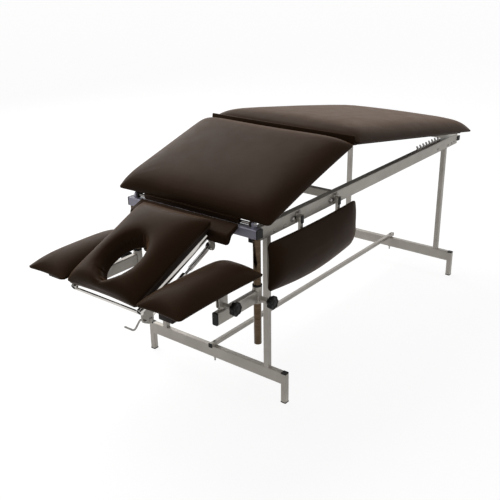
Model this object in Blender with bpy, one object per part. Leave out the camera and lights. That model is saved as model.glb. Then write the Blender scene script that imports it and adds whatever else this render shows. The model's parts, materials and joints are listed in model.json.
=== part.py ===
"""Massage table with a roof-folding top, a tilting headrest, arm rests and side pads. Metres, +Z up.

X runs from the head end to the foot end, Y across the table; left is +Y and right is -Y. Lengths along X
are measured from the head legs, and the root empty then sets the origin on the floor below the middle.
"""

from math import atan2, cos, degrees, hypot, pi, radians, sin

import bmesh
import bpy
from mathutils import Matrix, Vector

# Clearances
GAP = 0.0003
PLAY = 0.0004

# Base, legs and rails
TUBE = 0.020
TUBE_WALL = 0.0015
TUBE_EDGE = 0.0015
BASE_HEIGHT = 0.044
BASE_TOP = 0.116
FEET_SPACING = 0.620
LEG_SPACING = 0.475
LEG_PITCH = 1.302
CAP_HEIGHT = 0.004
CAP_SPIGOT = 0.012
FOOT_SOLE = 0.006
STRETCHER = 0.016
STRETCHER_OVERHANG = 0.012
RAIL_WIDTH = 0.026
RAIL_HEIGHT = 0.045
RAIL_BOTTOM = 0.592
RAIL_PAST_LEG = 0.110
MID_BAR_X = 0.430
MID_BAR_HEIGHT = 0.030
FOOT_BAR = 0.022

# Head crossbar and back hinge
CROSSBAR_X = -0.090
CROSSBAR_WIDTH = 0.030
CROSSBAR_HEIGHT = 0.030
CROSSBAR_RISE = 0.029
CROSSBAR_LENGTH = 0.552
PLUG_THICKNESS = 0.004
PLUG_SPIGOT = 0.015
HINGE_RADIUS = 0.005
EAR_RADIUS = 0.009
EAR_THICKNESS = 0.008
EAR_REACH = 0.046
EAR_LIFT = 0.0015
BACK_EAR_Y = 0.244
HINGE_SETBACK = 0.005

# Pads and boards
PAD_WIDTH = 0.650
BOARD = 0.010
BOARD_INSET = 0.034
BOARD_DROP = 0.006
BACK_PAD_LENGTH = 0.496
BACK_PAD_LEAD = 0.012
BACK_THICKNESS = 0.062
FOOT_PAD_LENGTH = 0.990
FOOT_THICKNESS = 0.060
PAD_GAP = 0.008
SHOULDER = 0.085
EDGE_HEIGHT = 0.004
CORNER = 0.010
CORNER_SOFTENING_SHARE = 0.7
CORNER_MOST_SHARE = 0.6
CROWN_INSET_SHARE = 0.6
DRAWN_IN = 0.004
SEAT_INSET = 0.002
# From a pad's rim to its top, in shares of the shoulder and of the rise: a full edge and a gentle one
FULL_EDGE = ((0.10, 0.30), (0.24, 0.51), (0.41, 0.70), (0.61, 0.85), (0.81, 0.94), (1.0, 0.975))
GENTLE_EDGE = ((0.08, 0.15), (0.20, 0.355), (0.36, 0.58), (0.56, 0.795), (0.78, 0.94), (1.0, 0.985))

# Roof pose: the back rises to the ridge and the foot section falls from it
BACK_RISE = radians(16.8)
FOOT_FALL = radians(9.0)
RIDGE_ROD_LENGTH = 0.520
RIDGE_EAR_Y = 0.232
FOOT_EAR_Y = 0.247
STRIP_THICKNESS = 0.006
STRIP_HEIGHT = 0.032
STRIP_INSET = 0.009

# Slide rod and racks
SLIDE_ROD_RADIUS = 0.005
SLIDE_ROD_AT = 0.895
SLIDE_ROD_LENGTH = 0.476
RACK_THICKNESS = 0.004
RACK_STRIP = 0.007
RACK_TEETH = 8
TOOTH_PITCH = 0.0275
TOOTH_HEIGHT = 0.0135
TOOTH_LEAN = 0.009
TOOTH_ROOT = 0.013
TOOTH_TIP = 0.007
RACK_START = 1.035
RACK_LENGTH = 0.222

# Headrest and neck block
HEADREST_WIDTH = 0.298
HEADREST_LENGTH = 0.375
HEADREST_THICKNESS = 0.058
HEADREST_SHOULDER = 0.066
HEADREST_BOARD = 0.018
HEADREST_BOARD_DROP = -0.008
HEADREST_FALL = radians(24.6)
HEADREST_AHEAD = 0.045
HEADREST_EAR_Y = 0.105
HEADREST_INSET = 0.007
HOLE_AT = 0.250
HOLE_LENGTH = 0.184
HOLE_WIDTH = 0.128
HOLE_ROLL = 0.016
HOLE_DIP_SHARE = 0.35
HOLE_TAPER = 0.004
HOLE_MARGIN = 0.006
BLOCK_WIDTH = 0.420
BLOCK_DEPTH = 0.060
BLOCK_DROP = 0.015
BLOCK_FRONT = 0.032
BLOCK_BACK = 0.054
BLOCK_SKIN = 0.012
SIDE_TUBE_RADIUS = 0.008
SIDE_TUBE_WALL = 0.0015
SIDE_TUBE_Y = 0.142
SIDE_TUBE_START = 0.042
FRONT_BAR_RADIUS = 0.005
FRONT_BAR_AT = 0.364
FRONT_BAR_LENGTH = 0.290
SIDE_TUBE_PAST_BAR = 0.007

# Strut under the headrest
STRUT_Y = -0.112
PLATE = 0.005
STRUT_PIN = 0.004
ANCHOR_X = 0.017
ANCHOR_DROP = 0.088
CLEVIS_AT = 0.338
CLEVIS_DROP = 0.090
STRUT_EYE = 0.010
STRUT_HUB = 0.012
STRUT_HUB_WIDTH = 0.016
STRUT_TUBE_RADIUS = 0.0100
STRUT_BORE = 0.0086
STRUT_TUBE_LENGTH = 0.185
STRUT_ROD_RADIUS = 0.004
STRUT_ROD_LENGTH = 0.215
SPRING_RADIUS = 0.0072
SPRING_WIRE = 0.0011
SPRING_TURNS = 12
SPRING_POINTS = 9
SPRING_LENGTH = 0.094
LEVER_RADIUS = 0.003
LEVER_AT = 0.358
LEVER_DROP = 0.073
LEVER_REACH = 0.036
LEVER_FALL = 0.014
LEVER_HANDLE = 0.040
LEVER_BEND = 0.010

# Arm rests
POST_RADIUS = 0.0125
POST_WALL = 0.002
POST_Y = 0.267
POST_LENGTH = 0.364
SLEEVE_RADIUS = 0.0155
SLEEVE_HEIGHT = 0.057
SLEEVE_DROP = 0.217
BUSH_HEIGHT = 0.006
ARM_BAR_WIDTH = 0.020
ARM_BAR_HEIGHT = 0.042
ARM_BAR_LENGTH = 0.204
ARM_BAR_LIFT = 0.004
ARM_PLUG = 0.004
TONGUE = 0.006
TONGUE_RADIUS = 0.012
TONGUE_SPREAD = 0.0192
TONGUE_AT = 0.172
TONGUE_RISE = 0.015
CHEEK = 0.004
CHEEK_LENGTH = 0.030
ARM_PAD_LENGTH = 0.376
ARM_PAD_WIDTH = 0.168
ARM_PAD_THICKNESS = 0.054
ARM_PAD_SHOULDER = 0.070
ARM_PAD_SETBACK = 0.040
ARM_PAD_INNER = 0.157
ARM_PAD_RISE = 0.060
ARM_SETTING = {"left": -0.008, "right": 0.0}
ARM_BOARD_INSET = 0.020
BATTEN_WIDTH = 0.052
BATTEN_HEIGHT = 0.014
BATTEN_LENGTH = 0.150
BATTEN_SETBACK = 0.012
SCREW_RADIUS = 0.004
KNOB_RADIUS = 0.0225
KNOB_LOBES = 7
KNOB_LOBE_DEPTH = 0.0022
KNOB_THICKNESS = 0.018
KNOB_NECK_RADIUS = 0.009
KNOB_NECK = 0.008
LIFT_BOSS_RADIUS = 0.010
LIFT_BOSS = 0.027
LIFT_KNOB_Z = 0.015
TILT_SCREW_OUT = 0.028

# Side pads
SIDE_PIN_OUT = 0.0135
SIDE_PIN_RADIUS = 0.004
SIDE_PIN_HEAD = 0.0063
SIDE_PIN_HEAD_LENGTH = 0.004
SIDE_PLATE = 0.004
SIDE_LUG = 0.007
SIDE_CHEEK_HEIGHT = 0.030
SIDE_BAR_X = 0.015
SIDE_BAR_Y = 0.012
SIDE_BAR_TOP = 0.0065
SIDE_BAR_LENGTH = 0.150
SIDE_BRACKET_X = (0.155, 0.385)
SIDE_BOARD = 0.008
SIDE_BOARD_INSET = 0.024
SIDE_PAD_START = -0.048
SIDE_PAD_LENGTH = 0.524
SIDE_PAD_HEIGHT = 0.170
SIDE_PAD_DROP = 0.024
SIDE_PAD_THICKNESS = 0.039
SIDE_BELLY = 0.022
SIDE_SHOULDER = 0.060
SIDE_CORNER = 0.060
SIDE_OTHER_CORNER = 0.016

# Heights and places that follow from the sizes above
RAIL_TOP = RAIL_BOTTOM + RAIL_HEIGHT
RAIL_OUTER = LEG_SPACING / 2 + TUBE / 2
RAIL_Y = RAIL_OUTER - RAIL_WIDTH / 2
RAIL_END = LEG_PITCH + RAIL_PAST_LEG
CROSSBAR_BOTTOM = RAIL_BOTTOM + CROSSBAR_RISE
CROSSBAR_TOP = CROSSBAR_BOTTOM + CROSSBAR_HEIGHT
CROSSBAR_FRONT = CROSSBAR_X - CROSSBAR_WIDTH / 2
CROSSBAR_REAR = CROSSBAR_X + CROSSBAR_WIDTH / 2
HINGE_X = CROSSBAR_X + HINGE_SETBACK
HINGE_Z = CROSSBAR_TOP + EAR_RADIUS + EAR_LIFT
CROSSBAR_LUG_Y = BACK_EAR_Y + EAR_THICKNESS + 4 * PLAY
PAD_DROP = BOARD_DROP + BOARD + GAP
RIDGE_AT = BACK_PAD_LENGTH - BACK_PAD_LEAD + PAD_GAP
RIDGE_X = HINGE_X + RIDGE_AT * cos(BACK_RISE)
RIDGE_Z = HINGE_Z + RIDGE_AT * sin(BACK_RISE)
NECK_X = CROSSBAR_FRONT - HEADREST_AHEAD
BLOCK_BOTTOM = CROSSBAR_BOTTOM - BLOCK_DROP
NECK_Z = BLOCK_BOTTOM + BLOCK_BACK
HEADREST_LUG_Y = HEADREST_EAR_Y + EAR_THICKNESS + 4 * PLAY
SLEEVE_BORE = POST_RADIUS + PLAY
SLEEVE_BOTTOM = CROSSBAR_BOTTOM - SLEEVE_DROP
ARM_BAR_BOTTOM = SLEEVE_BOTTOM + ARM_BAR_LIFT
ARM_PIVOT_X = CROSSBAR_X - TONGUE_AT
ARM_PIVOT_Z = ARM_BAR_BOTTOM + ARM_BAR_HEIGHT + TONGUE_RISE
SIDE_PIN_Y = RAIL_OUTER + SIDE_PIN_OUT
SIDE_PIN_Z = RAIL_BOTTOM + RAIL_HEIGHT / 2

SIDES = {"left": 1, "right": -1}


def clear_scene():
    for obj in list(bpy.data.objects):
        bpy.data.objects.remove(obj, do_unlink=True)


def finish(name, colour, roughness, metallic=0.0):
    material = bpy.data.materials.new(name)
    material.use_nodes = True
    shader = material.node_tree.nodes["Principled BSDF"]
    shader.inputs["Base Color"].default_value = (*colour, 1.0)
    shader.inputs["Roughness"].default_value = roughness
    shader.inputs["Metallic"].default_value = metallic
    return material


def empty(name, parent=None, place=(0.0, 0.0, 0.0), turn_y=0.0):
    """A joint's frame: its origin lies on the joint's axis."""
    node = bpy.data.objects.new(name, None)
    bpy.context.scene.collection.objects.link(node)
    node.parent = parent
    node.location = place
    node.rotation_euler = (0.0, turn_y, 0.0)
    return node


def solid(name, shape, parent, material=None):
    """One object from a shape. With no material it is a hidden shape for a Boolean."""
    mesh = bpy.data.meshes.new(name)
    bmesh.ops.recalc_face_normals(shape, faces=shape.faces)
    shape.to_mesh(mesh)
    shape.free()
    obj = bpy.data.objects.new(name, mesh)
    bpy.context.scene.collection.objects.link(obj)
    obj.parent = parent
    if material:
        mesh.materials.append(material)
    else:
        obj.hide_render = True
        obj.display_type = "WIRE"
    return obj


def combine(obj, operation, shape):
    """Joins a shape to the object, or cuts it away, with an exact Boolean."""
    count = len(obj.modifiers) + 1
    other = solid(f"{obj.name}_shape_{count}", shape, obj.parent)
    modifier = obj.modifiers.new(f"{operation.lower()}_{count}", "BOOLEAN")
    modifier.operation = operation
    modifier.solver = "EXACT"
    modifier.object = other
    return obj


def join(obj, *shapes):
    for shape in shapes:
        combine(obj, "UNION", shape)
    return obj


def cut(obj, *shapes):
    for shape in shapes:
        combine(obj, "DIFFERENCE", shape)
    return obj


def smooth(obj, angle=radians(35)):
    obj.data.shade_smooth()
    obj.data.set_sharp_from_angle(angle=angle)
    return obj


def spot(axis, u, v, w):
    """A point from its place in the plane across the axis (u, v) and along the axis (w)."""
    return {"x": (w, u, v), "y": (u, w, v), "z": (u, v, w)}[axis]


def flat(axis, outline, w):
    return [spot(axis, u, v, w) for u, v in outline]


def loop(shape, points):
    """A closed loop of edges through the points."""
    corners = [shape.verts.new(point) for point in points]
    return [shape.edges.new(pair) for pair in zip(corners, corners[1:] + corners[:1])]


def extruded(shape, faces, axis, length):
    grown = bmesh.ops.extrude_face_region(shape, geom=faces)["geom"]
    corners = [item for item in grown if isinstance(item, bmesh.types.BMVert)]
    bmesh.ops.translate(shape, vec=spot(axis, 0.0, 0.0, length), verts=corners)
    return shape


def prism(axis, outline, low, high):
    """An outline, filled and extruded along the axis."""
    shape = bmesh.new()
    face = bmesh.ops.edgeloop_fill(shape, edges=loop(shape, flat(axis, outline, low)))["faces"]
    return extruded(shape, face, axis, high - low)


def pipe(axis, outer, inner, low, high):
    """A tube with open ends: the ring between two outlines of equal length, extruded along the axis."""
    shape = bmesh.new()
    edges = loop(shape, flat(axis, outer, low)) + loop(shape, flat(axis, inner, low))
    ring = bmesh.ops.bridge_loops(shape, edges=edges)["faces"]
    return extruded(shape, ring, axis, high - low)


def box(x, y, z):
    return prism("z", [(x[0], y[0]), (x[1], y[0]), (x[1], y[1]), (x[0], y[1])], *z)


def rectangle(width, height, centre=(0.0, 0.0), edge=TUBE_EDGE):
    """A rectangle with its corners cut by a small edge."""
    u, v = width / 2, height / 2
    corners = [(u - edge, -v), (u, edge - v), (u, v - edge), (u - edge, v)]
    corners += [(edge - u, v), (-u, v - edge), (-u, edge - v), (edge - u, -v)]
    return [(centre[0] + a, centre[1] + b) for a, b in corners]


def circle(radius, centre=(0.0, 0.0), sides=20):
    angles = [2 * pi * i / sides for i in range(sides)]
    return [(centre[0] + radius * cos(a), centre[1] + radius * sin(a)) for a in angles]


def rod(axis, centre, radius, low, high, sides=16):
    return prism(axis, circle(radius, centre, sides), low, high)


def square_tube(axis, width, height, centre, low, high, wall=TUBE_WALL):
    outer = rectangle(width, height, centre)
    inner = rectangle(width - 2 * wall, height - 2 * wall, centre, TUBE_EDGE / 2)
    return pipe(axis, outer, inner, low, high)


def ear(pivot, side, y):
    """A plate round a pivot that runs into the underside of a board on one side (+1 towards +X)."""
    sweep = 8
    angles = [pi / 2 + pi * i / sweep for i in range(sweep + 1)]
    outline = [(side * EAR_RADIUS * cos(a), EAR_RADIUS * sin(a)) for a in angles]
    outline += [(side * EAR_REACH, BOARD_DROP / 2), (side * EAR_REACH, EAR_RADIUS)]
    outline = [(pivot + u, v) for u, v in outline]
    return prism("y", outline, y - EAR_THICKNESS / 2, y + EAR_THICKNESS / 2)


def rounded(half_x, half_y, radii, inset, drawn, belly=0.0, arc=3, side=3):
    """A rounded rectangle in order from its (+, +) corner: sides drawn in, the -y side with a belly."""
    points = []
    signs = ((1, 1), (-1, 1), (-1, -1), (1, -1))
    most = CORNER_MOST_SHARE * (min(half_x, half_y) - inset)
    soft = [min(radius + CORNER_SOFTENING_SHARE * inset, most) for radius in radii]
    centres = [(u * (half_x - inset - r), v * (half_y - inset - r)) for (u, v), r in zip(signs, soft)]
    for index, (centre, radius) in enumerate(zip(centres, soft)):
        for step in range(arc + 1):
            angle = (index + step / arc) * pi / 2
            points.append((centre[0] + radius * cos(angle), centre[1] + radius * sin(angle)))
        start = points[-1]
        ahead = (index + 1) % 4
        end_angle = (index + 1) * pi / 2
        end_u = centres[ahead][0] + soft[ahead] * cos(end_angle)
        end_v = centres[ahead][1] + soft[ahead] * sin(end_angle)
        for step in range(1, side + 1):
            share = step / (side + 1)
            out = belly if index == 2 else 0.0
            pull = (drawn - out) * sin(pi * share)
            u = start[0] + share * (end_u - start[0]) - pull * cos(end_angle)
            v = start[1] + share * (end_v - start[1]) - pull * sin(end_angle)
            points.append((u, v))
    return points


def cushion(length, width, thickness, shoulder, radii, edge=GENTLE_EDGE, belly=0.0):
    """A pad centred on its flat underside, with a thin rim, a broad rolled edge and a crowned top."""
    span = min(length, width) / 2 - shoulder
    levels = [(SEAT_INSET, 0.0), (0.0, EDGE_HEIGHT)]
    swell = thickness - EDGE_HEIGHT
    levels += [(share * shoulder, EDGE_HEIGHT + rise * swell) for share, rise in edge]
    levels.append((shoulder + CROWN_INSET_SHARE * span, thickness))
    rings = []
    for inset, height in levels:
        drawn = DRAWN_IN * (1 - height / thickness)
        outline = rounded(length / 2, width / 2, radii, inset, drawn, belly)
        rings.append([(u, v, height) for u, v in outline])
    shape, loops = ring_skin(rings)
    bmesh.ops.edgeloop_fill(shape, edges=loops[0] + loops[-1])
    return shape


def ring_skin(rings):
    """Rings bridged one to the next, and the loops of edges that they are made from."""
    shape = bmesh.new()
    loops = [loop(shape, ring) for ring in rings]
    for below, above in zip(loops, loops[1:]):
        bmesh.ops.bridge_loops(shape, edges=below + above)
    return shape, loops


def moved(shape, shift):
    bmesh.ops.translate(shape, vec=shift, verts=shape.verts)
    return shape


def turned_out(shape, sign):
    """Stands a pad up with its top towards +Y or -Y: its y becomes height."""
    bmesh.ops.rotate(shape, matrix=Matrix.Rotation(pi / 2, 3, "X"), verts=shape.verts)
    bmesh.ops.scale(shape, vec=(1.0, -sign, 1.0), verts=shape.verts)
    return shape


def bases(root, steel, plastic):
    half = FEET_SPACING / 2
    for end, x in (("head", 0.0), ("foot", LEG_PITCH)):
        foot_top = BASE_TOP - CAP_HEIGHT
        middle = BASE_TOP - BASE_HEIGHT / 2
        base = solid(
            f"{end}_base",
            prism("y", rectangle(TUBE, BASE_HEIGHT, (x, middle)), -half, half),
            root,
            steel,
        )
        bore = TUBE - 2 * TUBE_WALL
        for sign in (1, -1):
            foot = prism("z", rectangle(TUBE, TUBE, (x, sign * half)), 0.0, BASE_TOP)
            join(base, foot)
        for sign in (1, -1):
            inside = prism("z", rectangle(bore, bore, (x, sign * half)), FOOT_SOLE, BASE_TOP + TUBE)
            across = sorted((sign * (half - TUBE / 2), sign * (half + TUBE)))
            trim = box((x - TUBE, x + TUBE), across, (foot_top, BASE_TOP + TUBE))
            cut(base, inside, trim)
        cut(base, prism("y", rectangle(bore, BASE_HEIGHT - 2 * TUBE_WALL, (x, middle)), -half, half))
        for name, sign in SIDES.items():
            plug = bore - 2 * GAP
            cap = solid(
                f"base_cap_{end}_{name}",
                prism("z", rectangle(TUBE, TUBE, (x, sign * half)), foot_top + GAP, BASE_TOP + GAP),
                root,
                plastic,
            )
            spigot = rectangle(plug, plug, (x, sign * half))
            join(cap, prism("z", spigot, foot_top - CAP_SPIGOT, foot_top + CAP_HEIGHT / 2))


def legs_and_rails(root, steel):
    for name, sign in SIDES.items():
        for end, x in (("head", 0.0), ("foot", LEG_PITCH)):
            place = (x, sign * LEG_SPACING / 2)
            leg = square_tube("z", TUBE, TUBE, place, BASE_TOP + GAP, RAIL_BOTTOM - GAP)
            solid(f"leg_{end}_{name}", leg, root, steel)
        centre = (sign * RAIL_Y, RAIL_BOTTOM + RAIL_HEIGHT / 2)
        rail = square_tube("x", RAIL_WIDTH, RAIL_HEIGHT, centre, CROSSBAR_REAR + GAP, RAIL_END)
        solid(f"rail_{name}", rail, root, steel)
    middle = (0.0, BASE_TOP + GAP + STRETCHER / 2)
    low = -TUBE / 2 - STRETCHER_OVERHANG
    high = LEG_PITCH + TUBE / 2 + STRETCHER_OVERHANG
    solid("stretcher", square_tube("x", STRETCHER, STRETCHER, middle, low, high), root, steel)
    inner = RAIL_Y - RAIL_WIDTH / 2 - GAP
    mid_centre = (MID_BAR_X, RAIL_BOTTOM + MID_BAR_HEIGHT / 2 + TUBE_EDGE)
    mid_bar = square_tube("y", TUBE, MID_BAR_HEIGHT, mid_centre, -inner, inner)
    solid("mid_crossbar", mid_bar, root, steel)
    foot_centre = (RAIL_END + GAP + FOOT_BAR / 2, RAIL_BOTTOM + RAIL_HEIGHT / 2)
    foot_bar = square_tube("y", FOOT_BAR, FOOT_BAR, foot_centre, -RAIL_OUTER, RAIL_OUTER)
    solid("foot_crossbar", foot_bar, root, steel)


def racks(root, metal):
    """A strip on each rail with teeth that lean towards the head, so that they hold the slide rod."""
    base = RAIL_TOP + GAP
    top = base + RACK_STRIP
    end = RACK_START + RACK_LENGTH
    outline = [(RACK_START, base), (end, base), (end, top)]
    for tooth in reversed(range(RACK_TEETH)):
        foot = RACK_START + tooth * TOOTH_PITCH
        root_start = foot + (TOOTH_PITCH - TOOTH_ROOT) / 2
        tip = top + TOOTH_HEIGHT
        tip_start = root_start - TOOTH_LEAN
        outline += [(root_start + TOOTH_ROOT, top), (tip_start + TOOTH_TIP, tip)]
        outline += [(tip_start, tip), (root_start, top)]
    outline.append((RACK_START, top))
    for name, sign in SIDES.items():
        middle = sign * RAIL_Y
        strip = prism("y", outline, middle - RACK_THICKNESS / 2, middle + RACK_THICKNESS / 2)
        solid(f"rack_{name}", strip, root, metal)


def crossbar(root, steel, plastic, metal):
    half = CROSSBAR_LENGTH / 2
    centre = (CROSSBAR_X, CROSSBAR_BOTTOM + CROSSBAR_HEIGHT / 2)
    bar = solid(
        "head_crossbar",
        square_tube("y", CROSSBAR_WIDTH, CROSSBAR_HEIGHT, centre, -half, half),
        root,
        steel,
    )
    for sign in (1, -1):
        y = sign * CROSSBAR_LUG_Y
        angles = [pi * i / 8 for i in range(9)]
        outline = [(HINGE_X + EAR_RADIUS * cos(a), HINGE_Z + EAR_RADIUS * sin(a)) for a in angles]
        sunk = CROSSBAR_TOP - TUBE_WALL / 2
        outline += [(HINGE_X - EAR_RADIUS, sunk), (HINGE_X + EAR_RADIUS, sunk)]
        join(bar, prism("y", outline, y - EAR_THICKNESS / 2, y + EAR_THICKNESS / 2))
        bore = rod("y", (HINGE_X, HINGE_Z), HINGE_RADIUS + PLAY, y - EAR_THICKNESS, y + EAR_THICKNESS)
        cut(bar, bore)
    end = CROSSBAR_LUG_Y + EAR_THICKNESS / 2
    pin = rod("y", (HINGE_X, HINGE_Z), HINGE_RADIUS, -end, end)
    smooth(solid("back_hinge_rod", pin, root, metal))
    for name, sign in SIDES.items():
        near = sign * (half + GAP)
        far = sign * (half + GAP + PLUG_THICKNESS)
        plate = prism("y", rectangle(CROSSBAR_WIDTH, CROSSBAR_HEIGHT, centre), *sorted((near, far)))
        plug = solid(f"crossbar_plug_{name}", plate, root, plastic)
        fit = 2 * (TUBE_WALL + GAP)
        spigot = rectangle(CROSSBAR_WIDTH - fit, CROSSBAR_HEIGHT - fit, centre)
        deep = sign * (half - PLUG_SPIGOT)
        join(plug, prism("y", spigot, *sorted((deep, (near + far) / 2))))


def neck(root, vinyl, metal):
    """The block in front of the crossbar with the headrest's hinge, and the strut's anchor below it."""
    rear = CROSSBAR_FRONT - GAP
    front = rear - BLOCK_DEPTH
    inside = front + BLOCK_SKIN
    slope = (BLOCK_BACK - BLOCK_FRONT) / BLOCK_DEPTH
    corner = BLOCK_BOTTOM + BLOCK_FRONT + slope * BLOCK_SKIN - BLOCK_SKIN
    top_rear = BLOCK_BOTTOM + BLOCK_BACK
    outline = [(rear, top_rear), (front, BLOCK_BOTTOM + BLOCK_FRONT), (front, BLOCK_BOTTOM)]
    outline += [(inside, BLOCK_BOTTOM), (inside, corner), (rear, top_rear - BLOCK_SKIN)]
    block = solid("neck_block", prism("y", outline, -BLOCK_WIDTH / 2, BLOCK_WIDTH / 2), root, vinyl)
    for sign in (1, -1):
        y = sign * HEADREST_LUG_Y
        angles = [pi * i / 8 for i in range(9)]
        lug = [(NECK_X + EAR_RADIUS * cos(a), NECK_Z + EAR_RADIUS * sin(a)) for a in angles]
        sunk = BLOCK_BOTTOM + BLOCK_FRONT - EAR_LIFT
        lug += [(NECK_X - EAR_RADIUS, sunk), (NECK_X + EAR_RADIUS, sunk)]
        join(block, prism("y", lug, y - EAR_THICKNESS / 2, y + EAR_THICKNESS / 2))
        bore = rod("y", (NECK_X, NECK_Z), HINGE_RADIUS + PLAY, y - EAR_THICKNESS, y + EAR_THICKNESS)
        cut(block, bore)
    anchor_x = NECK_X + ANCHOR_X
    anchor_z = NECK_Z - ANCHOR_DROP
    seat = inside + GAP
    top = corner - PLATE
    plate_y = clevis_y()
    flange = box((seat, seat + PLATE), (plate_y - PLATE / 2, STRUT_Y + STRUT_EYE), (BLOCK_BOTTOM, top))
    bracket = solid("strut_bracket", flange, root, metal)
    cheek = [(seat, top), (seat, BLOCK_BOTTOM), (anchor_x - STRUT_EYE, anchor_z)]
    eye_low = anchor_z - STRUT_EYE
    cheek += [(anchor_x - STRUT_EYE / 2, eye_low), (anchor_x + STRUT_EYE / 2, eye_low)]
    cheek += [(anchor_x + STRUT_EYE, anchor_z), (anchor_x + STRUT_EYE / 2, top)]
    join(bracket, prism("y", cheek, plate_y - PLATE / 2, plate_y + PLATE / 2))
    join(bracket, rod("y", (anchor_x, anchor_z), STRUT_PIN, plate_y, STRUT_Y + STRUT_EYE))


def board_with_ears(name, parent, material, plank, ears):
    """A board under a pad. Each ear is (pivot, direction, y, bored); a rod passes through a bored one."""
    board = solid(name, plank, parent, material)
    for pivot, side, y, bored in ears:
        for sign in (1, -1):
            join(board, ear(pivot, side, sign * y))
    for pivot, side, y, bored in ears:
        for sign in (1, -1):
            if bored:
                low = sign * y - EAR_THICKNESS
                cut(board, rod("y", (pivot, 0.0), HINGE_RADIUS + PLAY, low, low + 2 * EAR_THICKNESS))
    return board


def back_section(root, vinyl, wood):
    frame = empty("back_section", root, (HINGE_X, 0.0, HINGE_Z), -BACK_RISE)
    half = PAD_WIDTH / 2 - BOARD_INSET
    ears = [(0.0, 1, BACK_EAR_Y, True), (RIDGE_AT, -1, RIDGE_EAR_Y, True)]
    start = EAR_RADIUS + BOARD_DROP
    plank = box((start, RIDGE_AT - start), (-half, half), (BOARD_DROP, BOARD_DROP + BOARD))
    board_with_ears("back_board", frame, wood, plank, ears)
    pad = cushion(BACK_PAD_LENGTH, PAD_WIDTH, BACK_THICKNESS, SHOULDER, [CORNER] * 4, FULL_EDGE)
    middle = BACK_PAD_LENGTH / 2 - BACK_PAD_LEAD
    smooth(solid("back_pad", moved(pad, (middle, 0.0, PAD_DROP)), frame, vinyl))


def foot_section(root, vinyl, wood, metal):
    frame = empty("foot_section", root, (RIDGE_X, 0.0, RIDGE_Z), FOOT_FALL)
    half = PAD_WIDTH / 2 - BOARD_INSET
    start = EAR_RADIUS + BOARD_DROP + STRIP_THICKNESS
    end = PAD_GAP + FOOT_PAD_LENGTH - BOARD_INSET
    plank = box((start, end), (-half, half), (BOARD_DROP, BOARD_DROP + BOARD))
    board = board_with_ears("foot_board", frame, wood, plank, [(0.0, 1, FOOT_EAR_Y, False)])
    join(board, rod("y", (0.0, 0.0), HINGE_RADIUS, -RIDGE_ROD_LENGTH / 2, RIDGE_ROD_LENGTH / 2))
    pad = cushion(FOOT_PAD_LENGTH, PAD_WIDTH, FOOT_THICKNESS, SHOULDER, [CORNER] * 4, FULL_EDGE)
    middle = PAD_GAP + FOOT_PAD_LENGTH / 2
    smooth(solid("foot_pad", moved(pad, (middle, 0.0, PAD_DROP)), frame, vinyl))
    strip_half = PAD_WIDTH / 2 - STRIP_INSET
    low = EAR_RADIUS + 4 * PLAY
    flange_top = BOARD_DROP + BOARD - GAP
    outline = [(0.0, low), (start - GAP, low), (start - GAP, flange_top), (STRIP_THICKNESS, flange_top)]
    outline += [(STRIP_THICKNESS, low + STRIP_HEIGHT), (0.0, low + STRIP_HEIGHT)]
    solid("ridge_strip", prism("y", outline, -strip_half, strip_half), frame, vinyl)
    rod_z = BOARD_DROP - GAP - SLIDE_ROD_RADIUS
    slide = rod("y", (SLIDE_ROD_AT, rod_z), SLIDE_ROD_RADIUS, -SLIDE_ROD_LENGTH / 2, SLIDE_ROD_LENGTH / 2)
    smooth(solid("slide_rod", slide, frame, metal))


def face_pad(length, width, thickness, shoulder):
    """The headrest's pad: its top rises from the rim to an oval face hole, whose edge rolls over."""
    hole_x = length / 2 - HOLE_AT
    seat, rim = (
        rounded(length / 2, width / 2, [CORNER] * 4, inset, DRAWN_IN, arc=4, side=4)
        for inset in (SEAT_INSET, 0.0)
    )
    angles = [atan2(v, u - hole_x) for u, v in rim]

    def hole(extra):
        a = HOLE_LENGTH / 2 + extra
        b = HOLE_WIDTH / 2 + extra
        return [(hole_x + a * cos(t), b * sin(t)) for t in angles]

    lip = hole(HOLE_ROLL)
    spans = [hypot(u - a, v - b) for (u, v), (a, b) in zip(rim, lip)]
    tops = [thickness * (1 - HOLE_DIP_SHARE * max(0.0, 1 - span / shoulder) ** 2) for span in spans]
    rings = [[(u, v, 0.0) for u, v in seat], [(u, v, EDGE_HEIGHT) for u, v in rim]]
    for share, _ in GENTLE_EDGE:
        ring = []
        for (u, v), (a, b), span, top in zip(rim, lip, spans, tops):
            progress = min(1.0, share * max(1.0, span / shoulder))
            height = EDGE_HEIGHT + (top - EDGE_HEIGHT) * (1 - (1 - progress) ** 2)
            ring.append((u + share * (a - u), v + share * (b - v), height))
        rings.append(ring)
    for step in (1, 2, 3):
        angle = step / 3 * pi / 2
        drop = HOLE_ROLL * (1 - cos(angle))
        inner = hole(HOLE_ROLL * (1 - sin(angle)))
        rings.append([(u, v, top - drop) for (u, v), top in zip(inner, tops)])
    rings.append([(u, v, 0.0) for u, v in hole(-HOLE_TAPER)])
    shape, loops = ring_skin(rings)
    bmesh.ops.bridge_loops(shape, edges=loops[-1] + loops[0])
    return shape


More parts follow.
